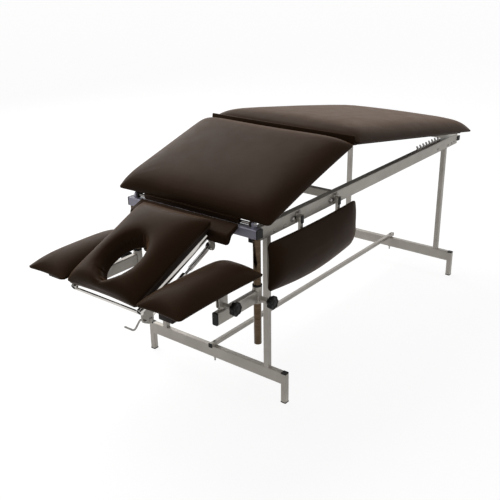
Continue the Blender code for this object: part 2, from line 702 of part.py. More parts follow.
def headrest(root, vinyl, wood, chrome):
    frame = empty("headrest", root, (NECK_X, 0.0, NECK_Z), -HEADREST_FALL)
    half = HEADREST_WIDTH / 2 - HEADREST_INSET
    start = 2 * EAR_RADIUS + BOARD_DROP
    end = HEADREST_LENGTH - 2 * HEADREST_INSET
    board_top = HEADREST_BOARD_DROP + HEADREST_BOARD
    plank = box((-end, -start), (-half, half), (HEADREST_BOARD_DROP, board_top))
    board = board_with_ears("headrest_board", frame, wood, plank, [(0.0, -1, HEADREST_EAR_Y, False)])
    pivot_half = HEADREST_LUG_Y + EAR_THICKNESS / 2
    join(board, rod("y", (0.0, 0.0), HINGE_RADIUS, -pivot_half, pivot_half))
    oval = circle(1.0, sides=28)
    a = HOLE_LENGTH / 2 + HOLE_MARGIN
    b = HOLE_WIDTH / 2 + HOLE_MARGIN
    cut(board, prism("z", [(-HOLE_AT + a * u, b * v) for u, v in oval], -4 * BOARD, 4 * BOARD))
    pad = face_pad(HEADREST_LENGTH, HEADREST_WIDTH, HEADREST_THICKNESS, HEADREST_SHOULDER)
    smooth(solid("headrest_pad", moved(pad, (-HEADREST_LENGTH / 2, 0.0, board_top + GAP)), frame, vinyl))
    tube_z = HEADREST_BOARD_DROP - GAP - SIDE_TUBE_RADIUS
    front = FRONT_BAR_AT + SIDE_TUBE_PAST_BAR
    for name, sign in SIDES.items():
        centre = (sign * SIDE_TUBE_Y, tube_z)
        outer = circle(SIDE_TUBE_RADIUS, centre, 16)
        inner = circle(SIDE_TUBE_RADIUS - SIDE_TUBE_WALL, centre, 16)
        run = pipe("x", outer, inner, -front, -SIDE_TUBE_START)
        tube = solid(f"headrest_tube_{name}", run, frame, chrome)
        if name == "right":
            clevis(tube, tube_z)
        smooth(tube)
    bar_z = tube_z - SIDE_TUBE_RADIUS - GAP - FRONT_BAR_RADIUS
    bar = rod("y", (-FRONT_BAR_AT, bar_z), FRONT_BAR_RADIUS, -FRONT_BAR_LENGTH / 2, FRONT_BAR_LENGTH / 2)
    smooth(solid("headrest_front_bar", bar, frame, chrome))
    return frame


def clevis_y():
    return STRUT_Y - STRUT_EYE - PLATE / 2 - PLAY


def clevis(tube, tube_z):
    """The plate under the right side tube that carries the strut's front pin and the release lever."""
    y = clevis_y()
    top = tube_z - SIDE_TUBE_RADIUS + SIDE_TUBE_WALL / 2
    rear = CLEVIS_AT - 3 * STRUT_EYE
    front = FRONT_BAR_AT - 2 * FRONT_BAR_RADIUS
    low = -CLEVIS_DROP - STRUT_EYE
    outline = [(-rear, top), (-front, top), (-front, top - STRUT_EYE), (-LEVER_AT - STRUT_EYE, -LEVER_DROP)]
    outline += [(-CLEVIS_AT - STRUT_EYE, low), (-CLEVIS_AT + STRUT_EYE, low)]
    across = (-SIDE_TUBE_Y - SIDE_TUBE_RADIUS / 2, y + PLATE / 2)
    flange = box((-front, -rear), across, (top - PLATE / 2, top + SIDE_TUBE_WALL / 3))
    join(tube, flange, prism("y", outline, y - PLATE / 2, y + PLATE / 2))
    join(tube, rod("y", (-CLEVIS_AT, -CLEVIS_DROP), STRUT_PIN, y, STRUT_Y + STRUT_EYE))
    lever_bore = rod("y", (-LEVER_AT, -LEVER_DROP), LEVER_RADIUS + PLAY, y - PLATE, y + PLATE)
    cut(tube, lever_bore)


def strut(root, head, metal, chrome):
    """A tube on the headrest's clevis, and a rod on the frame's anchor that slides in the tube."""
    anchor = Vector((NECK_X + ANCHOR_X, 0.0, NECK_Z - ANCHOR_DROP))
    fall = Vector((-cos(HEADREST_FALL), 0.0, -sin(HEADREST_FALL)))
    up = Vector((-sin(HEADREST_FALL), 0.0, cos(HEADREST_FALL)))
    front = Vector((NECK_X, 0.0, NECK_Z)) + CLEVIS_AT * fall - CLEVIS_DROP * up
    line = anchor - front
    slope = atan2(line.z, line.x)
    print(f"strut pins {line.length * 1000:.1f} mm apart, at {degrees(slope):.2f} degrees")
    eye = (STRUT_Y - STRUT_EYE, STRUT_Y + STRUT_EYE)
    tube_frame = empty("strut_tube_frame", head, (-CLEVIS_AT, 0.0, -CLEVIS_DROP), HEADREST_FALL - slope)
    outer = circle(STRUT_TUBE_RADIUS, (STRUT_Y, 0.0), 16)
    inner = circle(STRUT_BORE, (STRUT_Y, 0.0), 16)
    tube = solid("strut_tube", pipe("x", outer, inner, STRUT_EYE, STRUT_TUBE_LENGTH), tube_frame, chrome)
    hub = (STRUT_Y - STRUT_HUB_WIDTH / 2, STRUT_Y + STRUT_HUB_WIDTH / 2)
    join(tube, rod("y", (0.0, 0.0), STRUT_HUB, *hub))
    cut(tube, rod("y", (0.0, 0.0), STRUT_PIN + PLAY, *eye))
    smooth(tube)
    rod_frame = empty("strut_rod_frame", root, anchor, -slope)
    bar = rod("x", (STRUT_Y, 0.0), STRUT_ROD_RADIUS, -STRUT_ROD_LENGTH, -STRUT_EYE / 2)
    shaft = solid("strut_rod", bar, rod_frame, metal)
    join(shaft, rod("y", (0.0, 0.0), STRUT_HUB, *hub))
    cut(shaft, rod("y", (0.0, 0.0), STRUT_PIN + PLAY, *eye))
    smooth(shaft)
    spring(rod_frame, metal)


def spring(parent, metal):
    """The coil round the strut rod: one unbroken tube along a helix, whose first end meets the rod's hub."""
    start = STRUT_HUB + GAP
    steps = SPRING_POINTS * SPRING_TURNS
    points = [Vector((-start, STRUT_Y + SPRING_RADIUS, 0.0))]
    for step in range(steps + 1):
        angle = 2 * pi * step / SPRING_POINTS
        x = -start - 2 * SPRING_WIRE - SPRING_LENGTH * step / steps
        points.append(Vector((x, STRUT_Y + SPRING_RADIUS * cos(angle), SPRING_RADIUS * sin(angle))))
    least = min(
        (points[i] - points[j]).length
        for i in range(len(points))
        for j in range(i + SPRING_POINTS - 2, min(i + SPRING_POINTS + 3, len(points)))
    )
    print(f"least gap in the spring {1000 * (least - 2 * SPRING_WIRE):.2f} mm")
    curve = bpy.data.curves.new("strut_spring", "CURVE")
    curve.dimensions = "3D"
    curve.bevel_depth = SPRING_WIRE
    curve.bevel_resolution = 1
    curve.use_fill_caps = True
    wire = curve.splines.new("POLY")
    wire.points.add(len(points) - 1)
    for knot, point in zip(wire.points, points):
        knot.co = (*point, 1.0)
    curve.materials.append(metal)
    obj = bpy.data.objects.new("strut_spring", curve)
    bpy.context.scene.collection.objects.link(obj)
    obj.parent = parent


def bent_path(corners, radius, steps=4):
    """Points along straight runs with a round bend at each inner corner."""
    path = [corners[0]]
    for before, corner, after in zip(corners, corners[1:], corners[2:]):
        to_before = (before - corner).normalized()
        to_after = (after - corner).normalized()
        for step in range(steps + 1):
            share = step / steps
            start = corner + radius * to_before
            end = corner + radius * to_after
            path.append((1 - share) ** 2 * start + 2 * share * (1 - share) * corner + share**2 * end)
    path.append(corners[-1])
    return path


def lever(head, metal):
    """The bent-wire release lever: its first run is its own pivot through the clevis plate."""
    frame = empty("release_lever_frame", head, (-LEVER_AT, 0.0, -LEVER_DROP))
    y = clevis_y()
    outer = y - PLATE / 2 - 2 * LEVER_RADIUS
    inner = y + PLATE / 2 + LEVER_BEND + LEVER_RADIUS
    corners = [Vector((0.0, outer, 0.0)), Vector((0.0, inner, 0.0))]
    corners.append(Vector((-LEVER_REACH, inner, -LEVER_FALL)))
    corners.append(Vector((-LEVER_REACH, inner + LEVER_HANDLE, -LEVER_FALL)))
    curve = bpy.data.curves.new("release_lever", "CURVE")
    curve.dimensions = "3D"
    curve.bevel_depth = LEVER_RADIUS
    curve.bevel_resolution = 2
    curve.use_fill_caps = True
    path = bent_path(corners, LEVER_BEND)
    wire = curve.splines.new("POLY")
    wire.points.add(len(path) - 1)
    for knot, point in zip(wire.points, path):
        knot.co = (*point, 1.0)
    curve.materials.append(metal)
    obj = bpy.data.objects.new("release_lever", curve)
    bpy.context.scene.collection.objects.link(obj)
    obj.parent = frame


def knob(name, parent, plastic, side, seat, screw_end, centre):
    """A lobed hand knob on a screw along Y: its neck starts at seat and its tip is at screw_end."""
    count = 6 * KNOB_LOBES
    star = []
    for i in range(count):
        angle = 2 * pi * i / count
        radius = KNOB_RADIUS - KNOB_LOBE_DEPTH * (1 - cos(KNOB_LOBES * angle)) / 2
        star.append((centre[0] + radius * cos(angle), centre[1] + radius * sin(angle)))
    face = seat + KNOB_NECK
    body = prism("y", star, *sorted((side * face, side * (face + KNOB_THICKNESS))))
    obj = solid(name, body, parent, plastic)
    neck_end = face + KNOB_THICKNESS / 2
    join(obj, rod("y", centre, KNOB_NECK_RADIUS, *sorted((side * seat, side * neck_end))))
    join(obj, rod("y", centre, SCREW_RADIUS, *sorted((side * screw_end, side * neck_end)), 12))
    return smooth(obj)


def arm(root, name, side, finishes):
    steel, chrome, plastic, vinyl, wood = finishes
    y = side * POST_Y
    post_top = CROSSBAR_BOTTOM - GAP
    post_centre = (CROSSBAR_X, y)
    post = pipe(
        "z",
        circle(POST_RADIUS, post_centre, 24),
        circle(POST_RADIUS - POST_WALL, post_centre, 24),
        post_top - POST_LENGTH,
        post_top,
    )
    smooth(solid(f"arm_post_{name}", post, root, chrome))
    lift = empty(f"arm_lift_{name}", root, (CROSSBAR_X, y, SLEEVE_BOTTOM + ARM_SETTING[name]))
    ring_low = SLEEVE_HEIGHT + GAP
    sleeve_outer = circle(SLEEVE_RADIUS, sides=24)
    sleeve_bore = circle(SLEEVE_BORE, sides=24)
    ring = pipe("z", sleeve_outer, sleeve_bore, ring_low, ring_low + BUSH_HEIGHT)
    smooth(solid(f"arm_bush_{name}", ring, lift, plastic))
    swivel = empty(f"arm_swivel_{name}", lift)
    sleeve = solid(f"arm_sleeve_{name}", prism("z", sleeve_outer, 0.0, SLEEVE_HEIGHT), swivel, steel)
    bar_low = ARM_BAR_BOTTOM - SLEEVE_BOTTOM
    bar_middle = (0.0, bar_low + ARM_BAR_HEIGHT / 2)
    bar = prism("x", rectangle(ARM_BAR_WIDTH, ARM_BAR_HEIGHT, bar_middle), -ARM_BAR_LENGTH, -POST_RADIUS)
    boss_end = SLEEVE_RADIUS + LIFT_BOSS
    boss = rod("y", (0.0, LIFT_KNOB_Z), LIFT_BOSS_RADIUS, *sorted((side * POST_RADIUS, side * boss_end)))
    pivot = (-TONGUE_AT, ARM_PIVOT_Z - SLEEVE_BOTTOM)
    tongue = [(pivot[0] + u, pivot[1] + v) for u, v in circle(TONGUE_RADIUS, sides=16)[:9]]
    sunk = bar_low + ARM_BAR_HEIGHT - TUBE_WALL
    tongue += [(pivot[0] - TONGUE_SPREAD, sunk), (pivot[0] + TONGUE_SPREAD, sunk)]
    join(sleeve, bar, boss, prism("y", tongue, -TONGUE / 2, TONGUE / 2))
    hollow = rectangle(ARM_BAR_WIDTH - 2 * TUBE_WALL, ARM_BAR_HEIGHT - 2 * TUBE_WALL, bar_middle)
    cut(sleeve, prism("x", hollow, -ARM_BAR_LENGTH + ARM_PLUG, -POST_RADIUS))
    cut(sleeve, prism("z", sleeve_bore, -SLEEVE_HEIGHT, 2 * SLEEVE_HEIGHT))
    cut(sleeve, rod("y", (0.0, LIFT_KNOB_Z), SCREW_RADIUS + PLAY, 0.0, side * 2 * boss_end, 12))
    cut(sleeve, rod("y", pivot, SCREW_RADIUS + PLAY, -TONGUE, TONGUE, 12))
    screw_end = POST_RADIUS + 2 * PLAY
    knob(f"lift_knob_{name}", swivel, plastic, side, boss_end + GAP, screw_end, (0.0, LIFT_KNOB_Z))
    tilt = empty(f"arm_tilt_{name}", swivel, (pivot[0], 0.0, pivot[1]))
    arm_rest(tilt, name, side, vinyl, wood)
    cheek_out = TONGUE / 2 + PLAY + CHEEK
    knob(f"tilt_knob_{name}", tilt, plastic, side, cheek_out + TILT_SCREW_OUT, -cheek_out, (0.0, 0.0))


def arm_rest(tilt, name, side, vinyl, wood):
    """The pad, its board and the bracket whose two cheeks hold the tongue of the arm's bar."""
    rear = TONGUE_AT - ARM_PAD_SETBACK
    front = rear - ARM_PAD_LENGTH
    inner = side * (ARM_PAD_INNER - POST_Y)
    outer = inner + side * ARM_PAD_WIDTH
    y_low, y_high = sorted((inner, outer))
    board_top = ARM_PAD_RISE - GAP
    board_low = board_top - BOARD
    board = solid(
        f"arm_board_{name}",
        box(
            (front + ARM_BOARD_INSET, rear - ARM_BOARD_INSET),
            (y_low + ARM_BOARD_INSET, y_high - ARM_BOARD_INSET),
            (board_low, board_top),
        ),
        tilt,
        wood,
    )
    for sign in (1, -1):
        near = TONGUE / 2 + PLAY
        angles = [pi + pi * i / 8 for i in range(9)]
        outline = [(TONGUE_RADIUS * cos(a), TONGUE_RADIUS * sin(a)) for a in angles]
        outline += [(CHEEK_LENGTH, board_low + BOARD / 2), (-CHEEK_LENGTH, board_low + BOARD / 2)]
        join(board, prism("y", outline, *sorted((sign * near, sign * (near + CHEEK)))))
    middle = (y_low + y_high) / 2
    batten_start = front + ARM_BOARD_INSET + BATTEN_SETBACK
    batten = box(
        (batten_start, batten_start + BATTEN_LENGTH),
        (middle - BATTEN_WIDTH / 2, middle + BATTEN_WIDTH / 2),
        (board_low - BATTEN_HEIGHT, board_low + BOARD / 2),
    )
    join(board, batten)
    cut(board, rod("y", (0.0, 0.0), SCREW_RADIUS + PLAY, -2 * TONGUE, 2 * TONGUE, 12))
    pad = cushion(ARM_PAD_LENGTH, ARM_PAD_WIDTH, ARM_PAD_THICKNESS, ARM_PAD_SHOULDER, [CORNER] * 4)
    shift = ((front + rear) / 2, middle, ARM_PAD_RISE)
    smooth(solid(f"arm_pad_{name}", moved(pad, shift), tilt, vinyl))


def side_pad(root, name, side, finishes):
    steel, vinyl, wood = finishes
    for end, x in zip(("head", "foot"), SIDE_BRACKET_X):
        side_bracket(root, f"side_bracket_{name}_{end}", side, x, steel)
    hinge = empty(f"side_hinge_{name}", root, (0.0, side * SIDE_PIN_Y, SIDE_PIN_Z))
    bar_out = SIDE_BAR_Y / 2
    board_near = bar_out - SIDE_BOARD / 4
    board_far = bar_out + SIDE_BOARD
    top = -SIDE_PAD_DROP - SIDE_BOARD_INSET
    low = -SIDE_PAD_DROP - SIDE_PAD_HEIGHT + SIDE_BOARD_INSET
    start = SIDE_PAD_START + SIDE_BOARD_INSET
    end = SIDE_PAD_START + SIDE_PAD_LENGTH - SIDE_BOARD_INSET
    reach = max(SIDE_CORNER - SIDE_BOARD_INSET, SIDE_BOARD)
    arc = circle(reach, (end - reach, low + reach), 24)[18:] + [(end, low + reach)]
    outline = [(start, top), (start, low), *arc, (end, top)]
    plank = prism("y", outline, *sorted((side * board_near, side * board_far)))
    carrier = solid(f"side_carrier_{name}", plank, hinge, steel)
    for x in SIDE_BRACKET_X:
        bar = rectangle(SIDE_BAR_X, SIDE_BAR_Y, (x, 0.0))
        join(carrier, prism("z", bar, -SIDE_BAR_LENGTH, SIDE_BAR_TOP))
    for x in SIDE_BRACKET_X:
        bore = rod("x", (0.0, 0.0), SIDE_PIN_RADIUS + PLAY, x - SIDE_BAR_X, x + SIDE_BAR_X, 12)
        cut(carrier, bore)
    radii = [SIDE_OTHER_CORNER, SIDE_OTHER_CORNER, SIDE_OTHER_CORNER, SIDE_CORNER]
    pad = cushion(
        SIDE_PAD_LENGTH, SIDE_PAD_HEIGHT, SIDE_PAD_THICKNESS, SIDE_SHOULDER, radii, belly=SIDE_BELLY
    )
    shift = (
        SIDE_PAD_START + SIDE_PAD_LENGTH / 2,
        side * (board_far + GAP),
        -SIDE_PAD_DROP - SIDE_PAD_HEIGHT / 2,
    )
    smooth(solid(f"side_pad_{name}", moved(turned_out(pad, side), shift), hinge, vinyl))


def side_bracket(root, name, side, x, steel):
    """Two cheeks on the rail with a domed pin through them."""
    near = RAIL_OUTER + GAP
    far = SIDE_PIN_Y + SIDE_LUG
    z = (SIDE_PIN_Z - SIDE_CHEEK_HEIGHT / 2, SIDE_PIN_Z + SIDE_CHEEK_HEIGHT / 2)
    inside = SIDE_BAR_X / 2 + PLAY
    outside = inside + SIDE_PLATE
    plate = box((x - outside, x + outside), sorted((side * near, side * (near + SIDE_PLATE))), z)
    bracket = solid(name, plate, root, steel)
    for sign in (1, -1):
        span = sorted((x + sign * inside, x + sign * outside))
        low = (SIDE_PIN_Z - SIDE_LUG, SIDE_PIN_Z + SIDE_LUG)
        join(bracket, box(span, sorted((side * (near + SIDE_PLATE / 2), side * far)), low))
    pin = (side * SIDE_PIN_Y, SIDE_PIN_Z)
    head = x - outside - SIDE_PIN_HEAD_LENGTH
    pin_start = head + SIDE_PIN_HEAD_LENGTH / 2
    join(bracket, rod("x", pin, SIDE_PIN_RADIUS, pin_start, x + outside + SIDE_PLATE / 2, 12))
    join(bracket, rod("x", pin, SIDE_PIN_HEAD, head, x - inside - SIDE_PLATE / 2, 16))


def centre_on_floor(root):
    """Moves the root so that the origin is on the floor below the middle of the whole table."""
    bpy.context.view_layer.update()
    graph = bpy.context.evaluated_depsgraph_get()
    corners = []
    for obj in bpy.context.scene.objects:
        if obj.type not in ("MESH", "CURVE") or obj.hide_render:
            continue
        evaluated = obj.evaluated_get(graph)
        mesh = evaluated.to_mesh()
        corners += [evaluated.matrix_world @ vertex.co for vertex in mesh.vertices]
        evaluated.to_mesh_clear()
    low = [min(corner[i] for corner in corners) for i in range(3)]
    high = [max(corner[i] for corner in corners) for i in range(3)]
    root.location.x = -(low[0] + high[0]) / 2
    root.location.z = -low[2]
    print("size", [round(b - a, 4) for a, b in zip(low, high)], "origin at", -root.location.x)


def main():
    clear_scene()
    steel = finish("powder_coated_steel", (0.42, 0.40, 0.38), 0.45, 0.3)
    chrome = finish("chrome", (0.70, 0.68, 0.66), 0.15, 1.0)
    metal = finish("zinc_plated_steel", (0.32, 0.31, 0.30), 0.4, 1.0)
    plastic = finish("black_plastic", (0.02, 0.02, 0.02), 0.5)
    vinyl = finish("brown_vinyl", (0.055, 0.040, 0.032), 0.45)
    wood = finish("dark_board", (0.05, 0.04, 0.035), 0.7)
    root = empty("table")
    bases(root, steel, plastic)
    legs_and_rails(root, steel)
    racks(root, metal)
    crossbar(root, steel, plastic, metal)
    neck(root, vinyl, steel)
    back_section(root, vinyl, wood)
    foot_section(root, vinyl, wood, metal)
    head = headrest(root, vinyl, wood, chrome)
    strut(root, head, metal, chrome)
    lever(head, metal)
    for name, side in SIDES.items():
        arm(root, name, side, (steel, chrome, plastic, vinyl, wood))
        side_pad(root, name, side, (steel, vinyl, wood))
    centre_on_floor(root)


main()
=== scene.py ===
import json
from math import cos, pi, radians, sin

import bmesh
import bpy
import numpy as np
from mathutils import Matrix, Vector


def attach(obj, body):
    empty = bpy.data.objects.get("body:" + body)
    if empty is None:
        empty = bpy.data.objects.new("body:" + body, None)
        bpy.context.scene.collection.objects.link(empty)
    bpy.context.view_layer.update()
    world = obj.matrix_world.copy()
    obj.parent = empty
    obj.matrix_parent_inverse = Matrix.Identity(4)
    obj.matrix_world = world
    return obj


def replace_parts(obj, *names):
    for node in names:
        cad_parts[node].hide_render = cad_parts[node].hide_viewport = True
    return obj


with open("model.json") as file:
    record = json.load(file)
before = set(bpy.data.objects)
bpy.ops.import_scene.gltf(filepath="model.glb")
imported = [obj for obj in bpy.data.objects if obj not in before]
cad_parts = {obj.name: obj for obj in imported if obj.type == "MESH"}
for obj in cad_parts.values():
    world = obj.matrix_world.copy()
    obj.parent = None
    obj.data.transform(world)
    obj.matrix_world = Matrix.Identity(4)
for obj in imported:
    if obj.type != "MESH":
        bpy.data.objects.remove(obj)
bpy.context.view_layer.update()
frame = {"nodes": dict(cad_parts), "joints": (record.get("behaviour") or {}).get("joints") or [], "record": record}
nodes = frame["nodes"]
pivots = {joint["name"]: np.array(joint["pos_m"]) for joint in frame["joints"] if "pos_m" in joint}
sides = {"left": 1, "right": -1}
print("frame loaded:", len(nodes), "nodes")


# camera first: the photograph's place, turn and lens
cameraSetup = {"lens": 54.94, "sensor": 36, "place": (-2.26285, -1.5949, 1.4839),
               "pitch": 0.3948, "yaw": 0.6703, "roll": -0.0158}  # angles in radians


def makeCamera():
    # looks along the heading that pitch and yaw give; roll turns the picture's right and up about it
    pitch, yaw, roll = cameraSetup["pitch"], cameraSetup["yaw"], cameraSetup["roll"]
    ahead = Vector((cos(pitch) * cos(yaw), cos(pitch) * sin(yaw), -sin(pitch)))
    right = Vector((sin(yaw), -cos(yaw), 0))
    up = right.cross(ahead)
    rightRolled = cos(roll) * right + sin(roll) * up
    upRolled = -sin(roll) * right + cos(roll) * up
    camera = bpy.data.objects.new("photoCamera", bpy.data.cameras.new("photoCamera"))
    bpy.context.scene.collection.objects.link(camera)
    camera.data.lens = cameraSetup["lens"]
    camera.data.sensor_width = cameraSetup["sensor"]
    turn = Matrix((rightRolled, upRolled, -ahead)).transposed()
    camera.matrix_world = Matrix.Translation(cameraSetup["place"]) @ turn.to_4x4()
    bpy.context.scene.camera = camera


makeCamera()


# ways of standing: columns are the directions of a section's length, width and height
def axesAt(slope):  # slope in degrees that +X climbs
    a = radians(slope)
    return np.array([[cos(a), 0, -sin(a)], [0, 1, 0], [sin(a), 0, cos(a)]])


levelAxes = np.eye(3)
backAxes = axesAt(16.8)
footAxes = axesAt(-9.0)
headrestAxes = axesAt(24.6)
strutAxes = axesAt(25.13)
hangingAxes = {  # length along X, width upwards, height away from the table
    "left": np.array([[1, 0, 0], [0, 0, 1], [0, 1, 0]], float),
    "right": np.array([[1, 0, 0], [0, 0, -1], [0, 1, 0]], float),
}


def coordinates(mesh):  # the points of a mesh, one in a row
    flat = np.zeros(len(mesh.vertices) * 3)
    mesh.vertices.foreach_get("co", flat)
    return flat.reshape(-1, 3)


def localBox(node, axes=levelAxes):  # lowest and highest corner of a CAD node along a section's directions
    local = coordinates(nodes[node].data) @ axes
    return local.min(0), local.max(0)


# small tools for surfaces
def surface(points, closeRows=False):
    # a grid of points with a face between each four neighbours; every row closes on itself, and the last row
    # may run on into the first
    rows, cols = points.shape[:2]
    index = np.arange(rows * cols).reshape(rows, cols)
    index = np.hstack([index, index[:, :1]])
    if closeRows:
        index = np.vstack([index, index[:1]])
    corners = [index[:-1, :-1], index[:-1, 1:], index[1:, 1:], index[1:, :-1]]
    return points.reshape(-1, 3), np.stack(corners, -1).reshape(-1, 4)


def together(shapes):  # several surfaces as one
    counts = np.cumsum([0] + [len(points) for points, faces in shapes])
    points = np.vstack([points for points, faces in shapes])
    faces = np.vstack([faces + start for (_, faces), start in zip(shapes, counts)])
    return points, faces


def moved(shape, shift):  # every point plus one shift
    return shape[0] + np.asarray(shift, float), shape[1]


def turned(shape, axes):  # every point from a section's directions to the room's
    return shape[0] @ np.asarray(axes, float).T, shape[1]


def along(shape, direction, start):  # a shape made along +Z is laid along a direction from a start
    turn = np.array(Vector(direction).to_track_quat("Z", "Y").to_matrix())
    return moved(turned(shape, turn), start)


def seated(shape, pivot, axes=levelAxes):  # from a section's own length and height about a joint, to the room
    return moved(turned(shape, axes), pivots[pivot] * (1, 0, 1))


def mirrored(shape):  # across the table's middle
    return shape[0] * (1, -1, 1), shape[1]


pieceSetup = {"joined": 1e-6, "leastEdge": 1e-7}


def piece(name, shape, material, body, sharp=38):
    # a named mesh: points that meet are joined, faces look outwards, and edges stay crisp where faces turn by
    # more than the sharp angle; it rides on its body and takes its material
    points, faces = shape
    mesh = bpy.data.meshes.new(name)
    mesh.from_pydata(points.tolist(), [], faces.tolist())
    work = bmesh.new()
    work.from_mesh(mesh)
    bmesh.ops.remove_doubles(work, verts=work.verts, dist=pieceSetup["joined"])
    bmesh.ops.dissolve_degenerate(work, edges=work.edges, dist=pieceSetup["leastEdge"])
    bmesh.ops.recalc_face_normals(work, faces=work.faces)
    work.to_mesh(mesh)
    work.free()
    mesh.shade_smooth()
    mesh.set_sharp_from_angle(angle=radians(sharp))
    mesh.materials.append(material)
    obj = bpy.data.objects.new(name, mesh)
    bpy.context.scene.collection.objects.link(obj)
    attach(obj, body)
    return obj


def lathe(profile, count=32, closed=False):  # (radius, height) pairs carried round +Z
    radius, height = np.array(profile, float).T
    angle = np.linspace(0, 2 * pi, count, endpoint=False)
    x = radius[:, None] * np.cos(angle)
    y = radius[:, None] * np.sin(angle)
    z = np.broadcast_to(height[:, None], x.shape)
    return surface(np.stack([x, y, z], -1), closeRows=closed)


def roundBar(radius, length, edge, count=32):  # a rod from z = 0 whose ends are softened by a quarter circle
    turn = np.linspace(0, pi / 2, 5)
    low = np.stack([radius - edge + edge * np.sin(turn), edge - edge * np.cos(turn)], -1)
    high = np.stack([low[::-1, 0], length - low[::-1, 1]], -1)
    return lathe(np.vstack([[[0, 0]], low, high, [[0, length]]]), count)


def hollowBar(radius, wall, length, edge, count=40):  # a tube from z = 0, open at both ends
    inner, soft = radius - wall, 0.3 * edge
    profile = [
        (inner, edge), (inner + edge, 0), (radius - edge, 0), (radius - soft, soft), (radius, edge),
        (radius, length - edge), (radius - soft, length - soft), (radius - edge, length),
        (inner + edge, length), (inner, length - edge),
    ]
    return lathe(profile, count, closed=True)


def dome(radius, height, foot=0.0, count=20):  # a domed head on z = 0: an ellipse's quarter over a short foot
    turn = np.linspace(0, pi / 2, 6)
    cap = np.stack([radius * np.cos(turn), foot + (height - foot) * np.sin(turn)], -1)
    return lathe(np.vstack([[[0, 0]], [[radius, 0]], cap]), count)


def sweep(path, radius, across, count=12):
    # a circle carried along a path, square to its way; across is a direction that the path never takes
    path = np.asarray(path, float)
    tangent = np.gradient(path, axis=0)
    tangent /= np.linalg.norm(tangent, axis=1, keepdims=True)
    first = np.cross(tangent, across)
    first /= np.linalg.norm(first, axis=1, keepdims=True)
    second = np.cross(tangent, first)
    angle = np.linspace(0, 2 * pi, count, endpoint=False)
    ring = first[:, None] * np.cos(angle)[:, None] + second[:, None] * np.sin(angle)[:, None]
    points = path[:, None] + ring * radius
    ends = [np.repeat(path[i][None, None], count, 1) for i in (0, -1)]
    return surface(np.concatenate([ends[0], points, ends[1]]))


def smoothCorners(corners, radius, steps):
    # each corner of a closed outline becomes a quadratic curve between its two sides, which starts and ends
    # at the radius from the corner, or just short of the side's middle
    most = 0.48
    corners = np.asarray(corners, float)
    radius = np.broadcast_to(np.asarray(radius, float), (len(corners),))[:, None]
    before = np.roll(corners, 1, 0) - corners
    after = np.roll(corners, -1, 0) - corners
    reachBefore = np.linalg.norm(before, axis=1, keepdims=True)
    reachAfter = np.linalg.norm(after, axis=1, keepdims=True)
    start = corners + before / reachBefore * np.minimum(radius, most * reachBefore)
    end = corners + after / reachAfter * np.minimum(radius, most * reachAfter)
    share = np.linspace(0, 1, steps + 1)[None, :, None]
    curve = (1 - share) ** 2 * start[:, None] + 2 * share * (1 - share) * corners[:, None]
    return (curve + share**2 * end[:, None]).reshape(-1, 2)


def plate(outline, low, high, edge):
    # an outline in (u, v) given thickness along w: each face runs from the outline's middle to a rim that is
    # softened by a slightly shrunk outline
    outline = np.asarray(outline, float)
    middle = outline.mean(0)
    inner = middle + 0 * outline
    soft = middle + (outline - middle) * (1 - edge / np.abs(outline - middle).max())
    lower = [(inner, low), (soft, low), (outline, low + edge)]
    upper = [(outline, high - edge), (soft, high), (inner, high)]
    rows = [np.column_stack([ring, np.full(len(outline), w)]) for ring, w in lower + upper]
    return surface(np.stack(rows))


def onSide(shape):  # a plate set upright: u along the length, v upwards, w across
    return shape[0][:, [0, 2, 1]], shape[1]


def block(low, high, edge):  # a box whose upright corners are round and whose faces have a soft rim
    low, high = np.asarray(low, float), np.asarray(high, float)
    corners = [(high[0], high[1]), (low[0], high[1]), (low[0], low[1]), (high[0], low[1])]
    return plate(smoothCorners(corners, 1.6 * edge, 4), low[2], high[2], edge)


# materials
def linear(hexColour):  # sRGB hex to the linear numbers that shaders take
    rgb = np.array([int(hexColour[i:i + 2], 16) for i in (1, 3, 5)]) / 255
    return (*np.where(rgb <= 0.04045, rgb / 12.92, ((rgb + 0.055) / 1.055) ** 2.4), 1.0)


def addNode(tree, kind, settings=(), values=(), links=()):  # a shader node, set and linked to its sources
    node = tree.nodes.new(kind)
    for key, value in dict(settings).items():
        setattr(node, key, value)
    for key, value in dict(values).items():
        node.inputs[key].default_value = value
    for key, source in dict(links).items():
        tree.links.new(source, node.inputs[key])
    return node


def newMaterial(name, constants):  # constants are set on the shader's own sockets
    material = bpy.data.materials.new(name)
    material.use_nodes = True
    tree = material.node_tree
    shader = tree.nodes["Principled BSDF"]
    for socket, value in constants.items():
        shader.inputs[socket].default_value = value
    place = addNode(tree, "ShaderNodeTexCoord").outputs["Object"]
    return material, tree, shader, place


noiseSetup = {"roughness": 0.55, "ramp": (0.32, 0.68), "span": (0.3, 0.7)}  # noise at a range's two ends


def patches(tree, place, size, detail=3.0, stretch=None):  # cloudy noise with patches of one size in metres
    if stretch:
        mapping = addNode(tree, "ShaderNodeMapping", values={"Scale": stretch}, links={"Vector": place})
        place = mapping.outputs["Vector"]
    values = {"Scale": 1 / size, "Detail": detail, "Roughness": noiseSetup["roughness"]}
    return addNode(tree, "ShaderNodeTexNoise", values=values, links={"Vector": place}).outputs["Fac"]


def between(tree, shader, socket, fac, low, high):  # noise carried into a range of numbers or two colours
    if isinstance(low, str):
        mix = addNode(tree, "ShaderNodeValToRGB", links={"Fac": fac})
        for stop, position, colour in zip(mix.color_ramp.elements, noiseSetup["ramp"], (low, high)):
            stop.position = position
            stop.color = linear(colour)
        tree.links.new(mix.outputs["Color"], shader.inputs[socket])
    else:
        start, end = noiseSetup["span"]
        values = {"From Min": start, "From Max": end, "To Min": low, "To Max": high}
        spread = addNode(tree, "ShaderNodeMapRange", values=values, links={"Value": fac})
        tree.links.new(spread.outputs["Result"], shader.inputs[socket])


